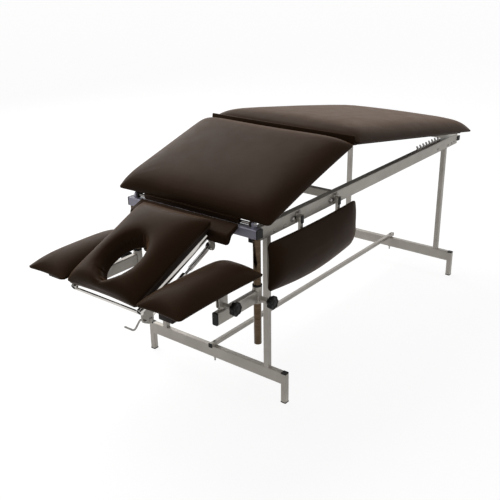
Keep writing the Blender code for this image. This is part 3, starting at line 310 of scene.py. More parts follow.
def relief(tree, shader, heights, depth, strength):  # heights add up to one bump, each with its share
    total = None
    for height, share in heights:
        part = addNode(tree, "ShaderNodeMath", {"operation": "MULTIPLY"}, {1: share}, {0: height})
        if total:
            links = {0: total, 1: part.outputs["Value"]}
            part = addNode(tree, "ShaderNodeMath", {"operation": "ADD"}, links=links)
        total = part.outputs["Value"]
    values = {"Strength": strength, "Distance": depth}
    bump = addNode(tree, "ShaderNodeBump", values=values, links={"Height": total})
    tree.links.new(bump.outputs["Normal"], shader.inputs["Normal"])


def vinylLeathercloth():
    # embossed PVC leathercloth: near-black brown, a shallow pebble grain under a satin lacquer that
    # stays dark face on and catches a warm sheen where it turns away
    look = {"deep": "#281c14", "raised": "#302319", "cloud": 0.16, "rough": (0.40, 0.47), "roughSize": 0.05,
            "grain": 0.0032, "swell": 0.03, "swellShare": 0.8, "depth": 0.00025, "strength": 0.4}
    constants = {"IOR": 1.5, "Specular IOR Level": 0.05, "Specular Tint": linear("#ffb878"),
                 "Sheen Weight": 0.30, "Sheen Roughness": 0.35, "Sheen Tint": linear("#dca878")}
    material, tree, shader, place = newMaterial("vinylLeathercloth", constants)
    between(tree, shader, "Base Color", patches(tree, place, look["cloud"]), look["deep"], look["raised"])
    between(tree, shader, "Roughness", patches(tree, place, look["roughSize"]), *look["rough"])
    # real grain is about 1 mm: it is drawn three times as coarse to show at this distance
    cells = {"feature": "DISTANCE_TO_EDGE"}
    pebble = addNode(tree, "ShaderNodeTexVoronoi", cells, {"Scale": 1 / look["grain"]}, {"Vector": place})
    heights = [(pebble.outputs["Distance"], 1.0), (patches(tree, place, look["swell"]), look["swellShare"])]
    relief(tree, shader, heights, look["depth"], look["strength"])
    return material


def silverEnamel(name, base, light):
    # powder coat with fine aluminium flake: satin, with a faint orange peel and rubbed patches
    look = {"rubbed": (0.09, 5.0), "rough": (0.36, 0.48), "roughSize": 0.025, "peel": (0.0026, 1.0),
            "depth": 0.00010, "strength": 0.4}
    material, tree, shader, place = newMaterial(name, {"Metallic": 0.35})
    between(tree, shader, "Base Color", patches(tree, place, *look["rubbed"]), base, light)
    between(tree, shader, "Roughness", patches(tree, place, look["roughSize"]), *look["rough"])
    relief(tree, shader, [(patches(tree, place, *look["peel"]), 1.0)], look["depth"], look["strength"])
    return material


def brightChrome():
    # plated steel tube: a mirror with a faint haze and hand smears
    look = {"colours": ("#bdb9b4", "#d2cfcb"), "haze": 0.06, "rough": (0.08, 0.20), "smear": (0.02, 5.0)}
    material, tree, shader, place = newMaterial("brightChrome", {"Metallic": 1.0})
    between(tree, shader, "Base Color", patches(tree, place, look["haze"]), *look["colours"])
    between(tree, shader, "Roughness", patches(tree, place, *look["smear"]), *look["rough"])
    return material


def drawnPost():
    # drawn steel post tinted warm brown, a painted reflection of the brown pads round it, with fine rings of wear
    # from its sleeve
    look = {"colours": ("#403427", "#5a4b3c"), "rings": (0.02, 4.0, (0.3, 0.3, 5.0)), "rough": (0.14, 0.26),
            "smear": (0.03, 5.0)}
    material, tree, shader, place = newMaterial("drawnPost", {"Metallic": 1.0})
    between(tree, shader, "Base Color", patches(tree, place, *look["rings"]), *look["colours"])
    between(tree, shader, "Roughness", patches(tree, place, *look["smear"]), *look["rough"])
    return material


def zincPlate():
    # zinc plated steel: grey, with a soft spangle
    look = {"colours": ("#7c7976", "#9d9994"), "spangle": (0.012, 4.0), "rough": (0.28, 0.42),
            "roughSize": 0.008, "crystals": (0.0015, 1.0), "depth": 0.00005, "strength": 0.4}
    material, tree, shader, place = newMaterial("zincPlate", {"Metallic": 1.0})
    between(tree, shader, "Base Color", patches(tree, place, *look["spangle"]), *look["colours"])
    between(tree, shader, "Roughness", patches(tree, place, look["roughSize"]), *look["rough"])
    relief(tree, shader, [(patches(tree, place, *look["crystals"]), 1.0)], look["depth"], look["strength"])
    return material


def mouldedNylon():
    # glass-filled nylon: black, with a fine spark-eroded texture drawn coarser than it is, to show
    look = {"colours": ("#0c0a09", "#151210"), "cloud": 0.02, "rough": (0.42, 0.56), "roughSize": 0.006,
            "sparks": (0.0011, 2.0), "depth": 0.0001, "strength": 0.5}
    material, tree, shader, place = newMaterial("mouldedNylon", {"IOR": 1.53, "Specular IOR Level": 0.18})
    between(tree, shader, "Base Color", patches(tree, place, look["cloud"]), *look["colours"])
    between(tree, shader, "Roughness", patches(tree, place, look["roughSize"]), *look["rough"])
    relief(tree, shader, [(patches(tree, place, *look["sparks"]), 1.0)], look["depth"], look["strength"])
    return material


def stainedBoard():
    # birch plywood stained dark brown: long grain along the table, matt
    look = {"colours": ("#17120f", "#281f19"), "grain": (0.012, 6.0, (0.06, 1.0, 1.0)), "rough": (0.58, 0.75),
            "depth": 0.0002, "strength": 0.4}
    material, tree, shader, place = newMaterial("stainedBoard", {"IOR": 1.45, "Specular IOR Level": 0.3})
    grain = patches(tree, place, *look["grain"])
    between(tree, shader, "Base Color", grain, *look["colours"])
    between(tree, shader, "Roughness", grain, *look["rough"])
    relief(tree, shader, [(grain, 1.0)], look["depth"], look["strength"])
    return material


vinyl = vinylLeathercloth()
enamel = silverEnamel("silverEnamel", "#b5afa6", "#c4beb5")
# a darker, bluish copy of the silver enamel: painted shade for the head crossbar, which lies in the pads' shadow
slateEnamel = silverEnamel("slateEnamel", "#93909f", "#a09dab")
chrome = brightChrome()
postSteel = drawnPost()
zinc = zincPlate()
nylon = mouldedNylon()
board = stainedBoard()
slotLooks = {
    "grey_steel": enamel, "chrome_steel": chrome, "zinc_steel": zinc,
    "black_plastic": nylon, "brown_vinyl": vinyl, "dark_board": board,
}
for part in frame["record"]["subparts"]:
    mesh = nodes[part["node"]].data
    mesh.materials.clear()
    mesh.materials.append(slotLooks[part["material_slot"]])
# the head crossbar takes the darker enamel copy: painted shade
nodes["head_crossbar"].data.materials[0] = slateEnamel
print("materials ready")


# upholstered pads
padShape = {
    "rim": 0.0055, "tuck": 0.002, "drawnIn": 0.005, "softening": 0.7, "roundMost": 0.6, "corner": 0.011,
    "edgeRows": 26, "crownRows": 12, "crownShare": 0.06, "pucker": 0.0007, "wave": 0.0005, "arc": 10,
    "side": 22,
}
pads = {
    "backCushion": {"node": "back_pad", "axes": backAxes, "body": "back_section",
                    "reach": 0.110, "soft": 0.027, "power": 0.7, "fill": 0.8, "cap": 0.008,
                    "pressure": 0.22, "voxel": 0.008},
    "footCushion": {"node": "foot_pad", "axes": footAxes, "body": "foot_section",
                    "reach": 0.110, "soft": 0.030, "power": 0.7, "fill": 0.8, "cap": 0.008,
                    "pressure": 0.22, "voxel": 0.008},
}
for side in sides:
    pads[f"armCushion{side.capitalize()}"] = {
        "node": f"arm_pad_{side}", "axes": levelAxes, "body": f"arm_rest_{side}",
        "reach": 0.076, "soft": 0.038, "power": 0.72, "fill": 0.8, "cap": 0.006, "pressure": 45.0}
    pads[f"sideCushion{side.capitalize()}"] = {
        "node": f"side_pad_{side}", "axes": hangingAxes[side], "body": f"side_pad_{side}",
        "reach": 0.074, "soft": 0.030, "power": 0.75, "fill": 0.75, "cap": 0.005, "pressure": 7.0,
        "belly": 0.022, "radii": [0.016, 0.016, 0.016, 0.060]}
headrestPad = {
    "node": "headrest_pad", "axes": headrestAxes, "body": "headrest", "fill": 0.85, "cap": 0.005,
    "pressure": 20.0, "soft": 0.036, "frontSoft": 0.012, "power": 0.72, "easing": 8, "skirt": 0.007,
    "skirtIn": 0.003, "holeFromNeck": 0.250, "holeLength": 0.196, "holeWidth": 0.142, "rollWide": 0.014,
    "rollDeep": 0.015, "rollRows": 10, "wallRows": 10, "taper": 0.021, "gathers": 34, "gatherDepth": 0.0018,
}
clothSetup = {"voxel": 0.006, "frames": 20, "quality": 4, "slack": 0.35, "heldSteps": 8,
              "heldSkin": (0.004, 0.014), "heldPad": (0.006, 0.022)}  # heights: all held below, free above


def roundedOutline(halfX, halfY, radii):
    # corner arcs joined by straight sides, from the (+, +) corner round; also each point's share of its
    # corner, and how far out of a side it lies, as a half sine between the side's two ends
    arc, side = padShape["arc"], padShape["side"]
    turn = (np.arange(4)[:, None] + np.linspace(0, 1, arc + 1)) * pi / 2
    signs = np.array([(1, 1), (-1, 1), (-1, -1), (1, -1)])
    radii = np.array(radii)[:, None]
    centres = signs * (np.array([halfX, halfY]) - radii)
    bends = centres[:, None] + radii[..., None] * np.stack([np.cos(turn), np.sin(turn)], -1)
    share = np.linspace(0, 1, side + 2)[1:-1]
    runs = bends[:, -1:] * (1 - share)[:, None] + np.roll(bends[:, :1], -1, 0) * share[:, None]
    outline = np.concatenate([bends, runs], 1).reshape(-1, 2)
    inBend = np.concatenate([np.linspace(0, 1, arc + 1), np.zeros(side)])
    bulge = np.concatenate([np.zeros(arc + 1), np.sin(pi * share)])
    normal = np.stack([np.cos(turn[:, -1]), np.sin(turn[:, -1])], -1)
    sway = (bulge[None, :, None] * normal[:, None]).reshape(-1, 2)
    return outline, np.tile(inBend, 4), sway


def padRing(length, width, radii, inset):
    # the pad's outline drawn in by an inset; its corners get rounder inwards, up to a share of the ring
    most = padShape["roundMost"] * (min(length, width) / 2 - inset)
    soft = [min(radius + padShape["softening"] * inset, most) for radius in radii]
    return roundedOutline(length / 2 - inset, width / 2 - inset, soft)


def swelling(flat, length, width, softs, power):
    # share of the full height: the product, over the four sides, of 1 - e^(-distance / softness), to a power,
    # so that edges rise steeply and corners droop without a ridge
    x, y = flat[..., 0], flat[..., 1]
    gaps = np.stack([length / 2 - x, length / 2 + x, width / 2 - y, width / 2 + y], -1)
    return np.prod(1 - np.exp(-np.clip(gaps, 0, None) / softs), -1) ** power


def puckers(inBend, swell):
    # folds at the corners: three sine waves round each corner, which fade in and out as the pad swells
    waves = padShape["pucker"] * np.sin(6 * pi * inBend)
    return waves * np.clip(6 * swell, 0, 1) * np.clip(1 - 1.6 * swell, 0, 1)


def waved(points, thickness):  # the filling's slow unevenness: two crossed sine waves on the upper part only
    x, y, z = np.moveaxis(points, -1, 0)
    wave = np.sin(9.0 * x + 1.3) * np.sin(11.0 * y + 0.4) + 0.6 * np.sin(23.0 * x - 17.0 * y)
    points[..., 2] = z + padShape["wave"] * np.clip(z / thickness, 0, 1) * (wave - 1.6)
    return points


def padSurface(length, width, thickness, setup):
    # rings from the underside over the rim and shrinking across the top, raised by the swelling and by a slow
    # crown, the product of two parabolas; sides are drawn in between the corners, where puckers gather
    rim, tuck, belly = padShape["rim"], padShape["tuck"], setup.get("belly", 0.0)
    width -= belly
    radii = setup.get("radii", [padShape["corner"]] * 4)
    insets = np.linspace(0, 1, padShape["edgeRows"] + 1) ** 1.5 * setup["reach"]
    rings = [padRing(length, width, radii, inset) for inset in np.concatenate([[tuck, 0.3 * tuck], insets])]
    inBend, sway = rings[0][1], rings[0][2]
    flat = np.stack([ring[0] for ring in rings])
    s = np.linspace(0, 1, padShape["crownRows"] + 1)[1:, None, None]
    flat = np.concatenate([0 * flat[:1], flat, flat[-1] * (1 - s)])
    swell = swelling(flat, length, width, setup["soft"], setup["power"])
    edgeShare = np.concatenate([np.zeros(3), np.linspace(0, 1, len(swell) - 3)])[:, None]
    swell = np.clip((swell - swell[3] * (1 - edgeShare) ** 6) / swell[-1], 0, 1)
    swell[:4] = 0
    crown = np.prod(1 - (2 * flat / (length, width)) ** 2, -1)
    height = swell * (1 - padShape["crownShare"] * (1 - crown))
    base = np.concatenate([[0, 0, 0.25 * rim], np.full(len(flat) - 3, rim)])[:, None]
    rise = base + (thickness - rim) * height
    fade = np.concatenate([[0], np.ones(len(rings)), (1 - s[:, 0, 0]) ** 2])[:, None, None]
    lower = np.repeat(np.arange(4) == 2, len(inBend) // 4)[:, None]
    flat = flat + sway * fade * (belly * lower - padShape["drawnIn"] * (1 - swell[..., None]))
    reach = np.linalg.norm(flat, axis=-1) + 1e-9  # never zero at the middle
    flat = flat * (1 - puckers(inBend, swell) / reach)[..., None]
    points = waved(np.concatenate([flat, rise[..., None]], -1), thickness)
    points[..., 1] += belly / 2
    return surface(points)


def headrestSurface(length, width, thickness, setup):
    # rings from the underside and the rim along straight lines to the hole's lip, over an elliptic roll and
    # down the gathered wall; neighbouring rings are then averaged, so that rim, top and roll run together
    rim = padShape["rim"]
    holeX = length / 2 - setup["holeFromNeck"]
    radii = [padShape["corner"]] * 4
    outer, inBend, sway = padRing(length, width, radii, 0.0)
    seat = padRing(length, width, radii, padShape["tuck"])[0]
    drawn = sway * padShape["drawnIn"]
    around = np.arctan2(outer[:, 1], outer[:, 0] - holeX)
    ray = np.stack([np.cos(around), np.sin(around)], -1)
    half = np.array([setup["holeLength"], setup["holeWidth"]]) / 2
    softs = np.array([setup["soft"], setup["frontSoft"], setup["soft"], setup["soft"]])

    def hole(grow):  # the face hole's ellipse, grown on all sides
        return (holeX, 0) + (half + grow) * ray

    lip = hole(setup["rollWide"])
    s = np.linspace(0, 1, padShape["edgeRows"] + 1)[:, None, None] ** 1.3
    flat = outer * (1 - s) + lip * s
    swell = swelling(flat, length, width, softs, setup["power"])
    swell = np.clip(swell - swell[0] * (1 - s[..., 0]) ** 8, 0, 1)
    lipHeight = rim + (thickness - rim) * swell[-1]
    reach = np.linalg.norm(flat, axis=-1)
    flat = (flat - drawn * (1 - s)) * (1 - puckers(inBend, swell) / reach)[..., None]
    under = padRing(length, width, radii, setup["skirtIn"])[0]
    rings = [
        np.column_stack([under - drawn, 0 * inBend - setup["skirt"]]),
        np.column_stack([seat - drawn, 0 * inBend - 0.6 * setup["skirt"]]),
        np.column_stack([0.3 * outer + 0.7 * seat - drawn, 0.25 * rim + 0 * inBend]),
    ]
    rings += list(np.concatenate([flat, (rim + (thickness - rim) * swell)[..., None]], -1))
    for a in np.linspace(0, pi / 2, setup["rollRows"] + 1)[1:]:
        rollHeight = lipHeight - setup["rollDeep"] * (1 - cos(a))
        rings.append(np.column_stack([hole(setup["rollWide"] * (1 - sin(a))), rollHeight]))
    low = lipHeight - setup["rollDeep"]
    for t in np.linspace(0, 1, setup["wallRows"] + 1)[1:]:
        uneven = setup["gathers"] * around + 2.2 * np.sin(3 * around) + 3 * t
        gather = setup["gatherDepth"] * sin(pi * t) * np.sin(uneven)
        rings.append(np.column_stack([hole(-setup["taper"] * t) + gather[:, None] * ray, low * (1 - t)]))
    points = np.stack(rings)
    for _ in range(setup["easing"]):  # all but the underside and the lower wall
        points[5:-8] = (points[4:-9] + 2 * points[5:-8] + points[6:-7]) / 4
    return surface(waved(points, thickness), closeRows=True)


def evaluated(obj):  # a mesh of its own, with the object's modifiers worked in
    return bpy.data.meshes.new_from_object(obj.evaluated_get(bpy.context.evaluated_depsgraph_get()))


def held(obj, axes, floor, top):
    # a group of held points in even steps: wholly held at the floor, falling straight to nothing at the top
    rise = (coordinates(obj.data) @ axes)[:, 2]
    share = np.clip((top - rise) / (top - floor), 0, 1)
    group = obj.vertex_groups.new(name="held")
    step = 1 / clothSetup["heldSteps"]
    for level in np.linspace(step, 1, clothSetup["heldSteps"]):
        some = np.flatnonzero(np.abs(share - level) <= step / 2)
        group.add(some.tolist(), float(level), "REPLACE")


def inflate(obj, setup, floor):
    # an even copy of the pad is blown up as cloth with its underside held; the pad's own points are then laid
    # on it, so that rim and corners keep their shape
    skin = bpy.data.objects.new(obj.name + "Skin", obj.data.copy())
    bpy.context.scene.collection.objects.link(skin)
    even = skin.modifiers.new("even", "REMESH")
    even.mode, even.voxel_size = "VOXEL", setup.get("voxel", clothSetup["voxel"])
    skin.data = evaluated(skin)
    skin.modifiers.clear()
    held(skin, setup["axes"], *(floor + height for height in clothSetup["heldSkin"]))
    before = coordinates(skin.data)
    cloth = skin.modifiers.new("cloth", "CLOTH")
    cloth.settings.use_pressure = True
    cloth.settings.uniform_pressure_force = setup["pressure"]
    cloth.settings.effector_weights.gravity = 0
    cloth.settings.vertex_group_mass = "held"
    cloth.settings.quality = clothSetup["quality"]
    for frameNumber in range(1, clothSetup["frames"] + 1):
        bpy.context.scene.frame_set(frameNumber)
    after = coordinates(evaluated(skin))
    move = after - before
    reach = np.linalg.norm(move, axis=1, keepdims=True)
    skin.modifiers.clear()
    capped = before + move * np.minimum(1, setup["cap"] / (reach + 1e-9))
    skin.data.vertices.foreach_set("co", capped.ravel())
    print(obj.name, "cloth:", len(before), "points, moved", round(float(reach.mean()) * 1000, 2), "mm, most",
          round(float(reach.max()) * 1000, 2))
    bpy.context.scene.frame_set(1)
    held(obj, setup["axes"], *(floor + height for height in clothSetup["heldPad"]))
    wrap = obj.modifiers.new("wrap", "SHRINKWRAP")
    wrap.target, wrap.wrap_method = skin, "NEAREST_SURFACEPOINT"
    wrap.vertex_group, wrap.invert_vertex_group = "held", True
    laid = coordinates(evaluated(obj))
    obj.modifiers.clear()
    obj.vertex_groups.clear()
    obj.data.vertices.foreach_set("co", laid.ravel())
    obj.data.update()
    bpy.data.objects.remove(skin)


def upholster(name, setup, make):  # a pad in place of its CAD node, blown up as cloth
    low, high = localBox(setup["node"], setup["axes"])
    length, width, thickness = high - low
    thickness -= clothSetup["slack"] * setup["cap"]  # room to swell
    shape = make(length, width, thickness, setup)
    shape = moved(shape, ((low[0] + high[0]) / 2, (low[1] + high[1]) / 2, low[2]))
    obj = piece(name, turned(shape, setup["axes"]), vinyl, setup["body"], sharp=75)
    inflate(obj, setup, low[2])
    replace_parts(obj, setup["node"])


for padName, padSetup in pads.items():
    upholster(padName, padSetup, padSurface)
upholster("headrestCushion", headrestPad, headrestSurface)
print("pads upholstered:", len(pads) + 1)


# vinyl-wrapped trims: a rounded outline carried across the table, with its ends drawn closed
wrapSetup = {"edge": 0.0025, "endSteps": [(0, 0), (0.82, 0), (0.95, 0.35), (1, 1)]}


def wrappedBar(outline, halfWidth, edge):
    # the outline (length, height) from side to side; each end shrinks to its middle as it steps out
    middle = outline.mean(0)
    rows = []
    for sign in (-1, 1):
        for scale, back in wrapSetup["endSteps"][::-sign]:
            ring = middle + (outline - middle) * scale
            across = np.full(len(ring), sign * (halfWidth - edge * back))
            rows.append(np.column_stack([ring[:, 0], across, ring[:, 1]]))
    return surface(np.stack(rows))


ridgeSetup = {"lip": 0.006, "flange": 0.0052, "steps": 5,
              "radii": [0.0015, 0.001, 0.001, 0.002, 0.0028, 0.0028]}


def ridgeTrim():
    # an angle strip: a flange under the pad's edge and a lip that stands up along the ridge
    setup = ridgeSetup
    low, high = localBox("ridge_strip", footAxes)
    lipBack, flangeTop = low[0] + setup["lip"], low[2] + setup["flange"]
    outline = [(low[0], low[2]), (high[0], low[2]), (high[0], flangeTop),
               (lipBack, flangeTop), (lipBack, high[2]), (low[0], high[2])]
    outline = smoothCorners(outline, setup["radii"], setup["steps"])
    shape = turned(wrappedBar(outline, high[1], wrapSetup["edge"]), footAxes)
    obj = piece("ridgeTrim", shape, vinyl, "foot_section")
    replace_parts(obj, "ridge_strip")


neckSetup = {"skin": 0.012, "front": 0.032, "back": 0.054, "edge": 0.005, "steps": 7,
             "radii": [0.003, 0.013, 0.005, 0.004, 0.006, 0.003]}


def neckRoll():
    # the block between crossbar and headrest: padded top and front, hollow behind, in one wrapped skin
    setup = neckSetup
    low, high = localBox("neck_block")
    x0, x1, z0, skin = low[0], high[0], low[2], setup["skin"]
    frontTop, backTop = z0 + setup["front"], z0 + setup["back"]
    corner = frontTop + (backTop - frontTop) / (x1 - x0) * skin - skin
    outline = [(x1, backTop), (x0, frontTop), (x0, z0),
               (x0 + skin, z0), (x0 + skin, corner), (x1, backTop - skin)]
    outline = smoothCorners(outline, setup["radii"], setup["steps"])
    obj = piece("neckRoll", wrappedBar(outline, high[1], setup["edge"]), vinyl, "frame")
    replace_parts(obj, "neck_block")
    return frontTop


apronSetup = {"lead": -0.0118, "top": 0.0170, "drop": -0.0035, "thick": 0.0022, "back": 0.012, "fold": 0.0115,
              "half": 0.205, "radii": [0.002, 0.001, 0.001, 0.002, 0.001, 0.001], "steps": 4}


def backApron():
    # the cover folded from under the pad down round the front of the back board
    setup = apronSetup
    lead, inner, fold, back = setup["lead"], setup["lead"] + setup["thick"], setup["fold"], setup["back"]
    outline = [(lead, setup["top"]), (lead, setup["drop"]), (inner, setup["drop"]),
               (inner, fold), (back, fold), (back, setup["top"])]
    outline = smoothCorners(outline, setup["radii"], setup["steps"])
    shape = wrappedBar(outline, setup["half"], wrapSetup["edge"])
    piece("backApron", seated(shape, "back_tilt", backAxes), vinyl, "back_section")


ridgeTrim()
neckFront = neckRoll()
backApron()
print("trims wrapped")


# hinge lugs of the headrest and the plain rods
lugSetup = {"radius": 0.009, "thick": 0.008, "sink": 0.004, "fromMiddle": 0.1146, "edge": 0.0008,
            "arcPoints": 13, "pinEnd": (0.0068, 0.004)}  # a pin end's radius and height


def neckLugs():
    # two upright tongues with a half-round top on the hinge line, each with a domed pin end on its outer face
    setup = lugSetup
    radius, half = setup["radius"], setup["thick"] / 2
    turn = np.linspace(0, pi, setup["arcPoints"])
    arc = np.stack([np.cos(turn), np.sin(turn)], -1) * radius
    drop = neckFront - setup["sink"] - pivots["headrest_tilt"][2]
    outline = np.vstack([arc, [(-radius, drop), (radius, drop)]])
    shapes = []
    for sign in (1, -1):
        y = sign * setup["fromMiddle"]
        shapes.append(onSide(plate(outline, y - half, y + half, setup["edge"])))
        shapes.append(along(dome(*setup["pinEnd"]), (0, sign, 0), (0, y + sign * half, 0)))
    piece("neckLugs", seated(together(shapes), "headrest_tilt"), enamel, "frame")


rodSetup = {"edge": 0.0012}


def plainRod(name, node, material, body, axes=levelAxes):  # a rod across, in place of a CAD rod
    low, high = localBox(node, axes)
    centre = (low + high) / 2
    rod = roundBar((high[2] - low[2]) / 2, high[1] - low[1], rodSetup["edge"])
    rod = along(rod, (0, 1, 0), (centre[0], low[1], centre[2]))
    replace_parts(piece(name, turned(rod, axes), material, body), node)


neckLugs()
plainRod("backHingeRod", "back_hinge_rod", zinc, "frame")
plainRod("slideRod", "slide_rod", zinc, "foot_section", footAxes)
plainRod("headrestFrontBar", "headrest_front_bar", chrome, "headrest", headrestAxes)


# headrest tubes, the clevis under the right one, the strut and the lever
tubeSetup = {"plating": 0.0016, "wall": 0.0015, "edge": 0.0006, "plugHeight": 0.003, "plugSink": 0.001}


def headrestTubes():
    # two open tubes along the headrest with a domed plug in each end; gives the height of their underside
    pivot = pivots["headrest_tilt"] @ headrestAxes
    low, high = localBox("headrest_tube_left", headrestAxes)
    low, high = low - pivot, high - pivot
    radius = (high[1] - low[1]) / 2 + tubeSetup["plating"]
    centreY, centreZ = (low[1] + high[1]) / 2, low[2] + radius - 2 * tubeSetup["plating"]
    tube = hollowBar(radius, tubeSetup["wall"], high[0] - low[0], tubeSetup["edge"])
    plug = dome(radius - tubeSetup["wall"], tubeSetup["plugHeight"])
    ends = ((-1, low[0] + tubeSetup["plugSink"]), (1, high[0] - tubeSetup["plugSink"]))
    for side, sign in sides.items():
        label, y = side.capitalize(), sign * centreY
        shape = seated(along(tube, (1, 0, 0), (low[0], y, centreZ)), "headrest_tilt", headrestAxes)
        obj = piece(f"headrestTube{label}", shape, chrome, "headrest")
        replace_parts(obj, f"headrest_tube_{side}")
        plugs = together([along(plug, (way, 0, 0), (x, y, centreZ)) for way, x in ends])
        plugs = seated(plugs, "headrest_tilt", headrestAxes)
        piece(f"headrestTubePlugs{label}", plugs, nylon, "headrest")
    return centreZ - radius


clevisSetup = {
    "at": 0.338, "drop": 0.090, "leverAt": 0.358, "leverDrop": 0.073, "barAt": 0.364, "barGap": 0.010,
    "eye": 0.010, "plate": 0.005, "play": 0.0004, "edge": 0.0006, "overlap": 0.0008, "flangeEnd": -0.146,
    "radii": [0.001, 0.003, 0.003, 0.008, 0.009, 0.009], "steps": 6,
    "pin": (0.004, 0.0275, 0.0008), "pinHead": (0.0075, 0.004, 0.001), "rivet": (0.0055, 0.003, 0.001),
}
strutSetup = {
    "y": -0.112, "radius": 0.010, "bore": 0.0086, "start": 0.010, "end": 0.185, "edge": 0.0005,
    "hub": 0.012, "hubWidth": 0.016, "hubEdge": 0.0012, "rod": 0.004, "rodLength": 0.215, "rodGap": 0.005,
    "rodEdge": 0.001, "coil": 0.0072, "wire": 0.0012, "turns": 25, "coilStart": 0.0123, "coilEnd": 0.1085,
    "turnPoints": 22, "wirePoints": 8, "crowding": 0.012,
}
clevisY = strutSetup["y"] - clevisSetup["eye"] - clevisSetup["plate"] / 2 - clevisSetup["play"]


def clevis(tubeLow):
    # a folded plate: flange under the tube, and a cheek that narrows to the strut's pin
    setup = clevisSetup
    eye, half, edge = setup["eye"], setup["plate"] / 2, setup["edge"]
    top, low = tubeLow + setup["overlap"], -setup["drop"] - eye
    rear, front = setup["at"] - 3 * eye, setup["barAt"] - setup["barGap"]
    outline = [(-rear, top), (-front, top), (-front, top - eye),
               (-setup["leverAt"] - eye, -setup["leverDrop"]),
               (-setup["at"] - eye, low), (-setup["at"] + eye, low)]
    outline = smoothCorners(outline, setup["radii"], setup["steps"])
    outside = (-setup["at"], clevisY - half, -setup["drop"])
    inside = (-setup["at"], strutSetup["y"] + eye, -setup["drop"])
    shapes = [
        onSide(plate(outline, clevisY - half, clevisY + half, edge)),
        block((-front, setup["flangeEnd"], top - half), (-rear, clevisY + half, top + edge), edge),
        along(roundBar(*setup["pin"]), (0, 1, 0), outside),
        along(dome(*setup["pinHead"]), (0, -1, 0), outside),
        along(dome(*setup["rivet"]), (0, 1, 0), inside),
    ]
    shape = seated(together(shapes), "headrest_tilt", headrestAxes)
    piece("clevisPlate", shape, enamel, "headrest")


def strut():
    # a tube that takes up a rod, each from a hub across it; round the bare rod a helix of wire, whose turns
    # crowd at both ends by a share of a sine
    setup = strutSetup
    y, wire = setup["y"], setup["wire"]
    hub = roundBar(setup["hub"], setup["hubWidth"], setup["hubEdge"])
    hub = along(hub, (0, 1, 0), (0, y - setup["hubWidth"] / 2, 0))
    wall, length = setup["radius"] - setup["bore"], setup["end"] - setup["start"]
    tube = hollowBar(setup["radius"], wall, length, setup["edge"])
    tube = along(tube, (1, 0, 0), (setup["start"], y, 0))
    shape = seated(together([hub, tube]), "strut_tube_swing", strutAxes)
    obj = piece("strutTube", shape, chrome, "strut_tube")
    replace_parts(obj, "strut_tube")
    rod = roundBar(setup["rod"], setup["rodLength"] - setup["rodGap"], setup["rodEdge"])
    rod = along(rod, (1, 0, 0), (-setup["rodLength"], y, 0))
    shape = seated(together([hub, rod]), "strut_rod_swing", strutAxes)
    obj = piece("strutRod", shape, zinc, "strut_rod")
    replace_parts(obj, "strut_rod")
    turn = np.linspace(0, 2 * pi * setup["turns"], setup["turnPoints"] * setup["turns"])
    run = turn / turn[-1]
    pitch = run - setup["crowding"] * np.sin(2 * pi * run)
    x = -setup["coilStart"] - wire - (setup["coilEnd"] - setup["coilStart"] - 2 * wire) * pitch
    helix = np.stack([x, y + setup["coil"] * np.cos(turn), setup["coil"] * np.sin(turn)], -1)
    shape = seated(sweep(helix, wire, (1, 0, 0), setup["wirePoints"]), "strut_rod_swing", strutAxes)
    obj = piece("strutSpring", shape, chrome, "strut_rod", sharp=80)
    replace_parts(obj, "strut_spring")


leverSetup = {"radius": 0.003, "reach": 0.036, "fall": 0.014, "handle": 0.040, "bend": 0.010, "end": 0.0015,
              "runPoints": 9, "wirePoints": 14}


def releaseLever():
    # one bent wire: straight runs joined by quadratic curves, the bend's reach each way, with domed tips
    setup = leverSetup
    radius, bend = setup["radius"], setup["bend"]
    outer = clevisY - clevisSetup["plate"] / 2 - 2 * radius
    inner = clevisY + clevisSetup["plate"] / 2 + bend + radius
    corners = np.array([(0, outer, 0), (0, inner, 0), (-setup["reach"], inner, -setup["fall"]),
                        (-setup["reach"], inner + setup["handle"], -setup["fall"])])
    share = np.linspace(0, 1, setup["runPoints"])[:, None]
    path = [corners[0] * (1 - share) + corners[1] * share]
    for before, corner, after in zip(corners, corners[1:], corners[2:]):
        start = corner + bend * (before - corner) / np.linalg.norm(before - corner)
        end = corner + bend * (after - corner) / np.linalg.norm(after - corner)
        path[-1] = path[-1][0] * (1 - share) + start * share
        path.append(((1 - share) ** 2 * start + 2 * share * (1 - share) * corner + share**2 * end)[1:])
        path.append((end * (1 - share) + after * share)[1:])
    path = np.vstack(path)
    plane = np.cross(corners[1] - corners[0], corners[2] - corners[1])
    shapes = [sweep(path, radius, plane / np.linalg.norm(plane), setup["wirePoints"])]
    cap = dome(radius, setup["end"], count=setup["wirePoints"])
    for tip, beside in ((0, 1), (-1, -2)):
        shapes.append(along(cap, path[tip] - path[beside], path[tip]))
    shape = seated(together(shapes), "release_pull", headrestAxes)
    obj = piece("releaseLever", shape, zinc, "release_lever")
    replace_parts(obj, "release_lever")


clevis(headrestTubes())
strut()
releaseLever()
print("headrest gear made")


# arm rests: post, bush, sleeve with its bar, knobs, bracket and board
def alongBar(shape):  # from a plate's (u, v, w) to the bar's way: w along the length, u across, v upwards
    return shape[0][:, [2, 0, 1]], shape[1]


knobSetup = {
    "radius": 0.0225, "lobes": 7, "lobeDepth": 0.0026, "lobePoints": 18, "thick": 0.018,
    "round": 0.0045, "roundPoints": 6, "neck": 0.009, "neckFoot": 0.0081, "neckEdge": 0.0008,
    "neckLength": 0.008, "flare": 0.002, "dishRim": 0.74, "dishOut": 0.001, "dishFloor": 0.66,
    "dishStep": 0.0004, "dishDeep": 0.0016, "capFoot": 0.0095, "capRim": 0.0088, "capTop": 0.006,
    "screw": 0.004, "screwEdge": 0.0006, "screwPoints": 20, "screwPast": 0.001, "tiltScrew": 0.040,
}


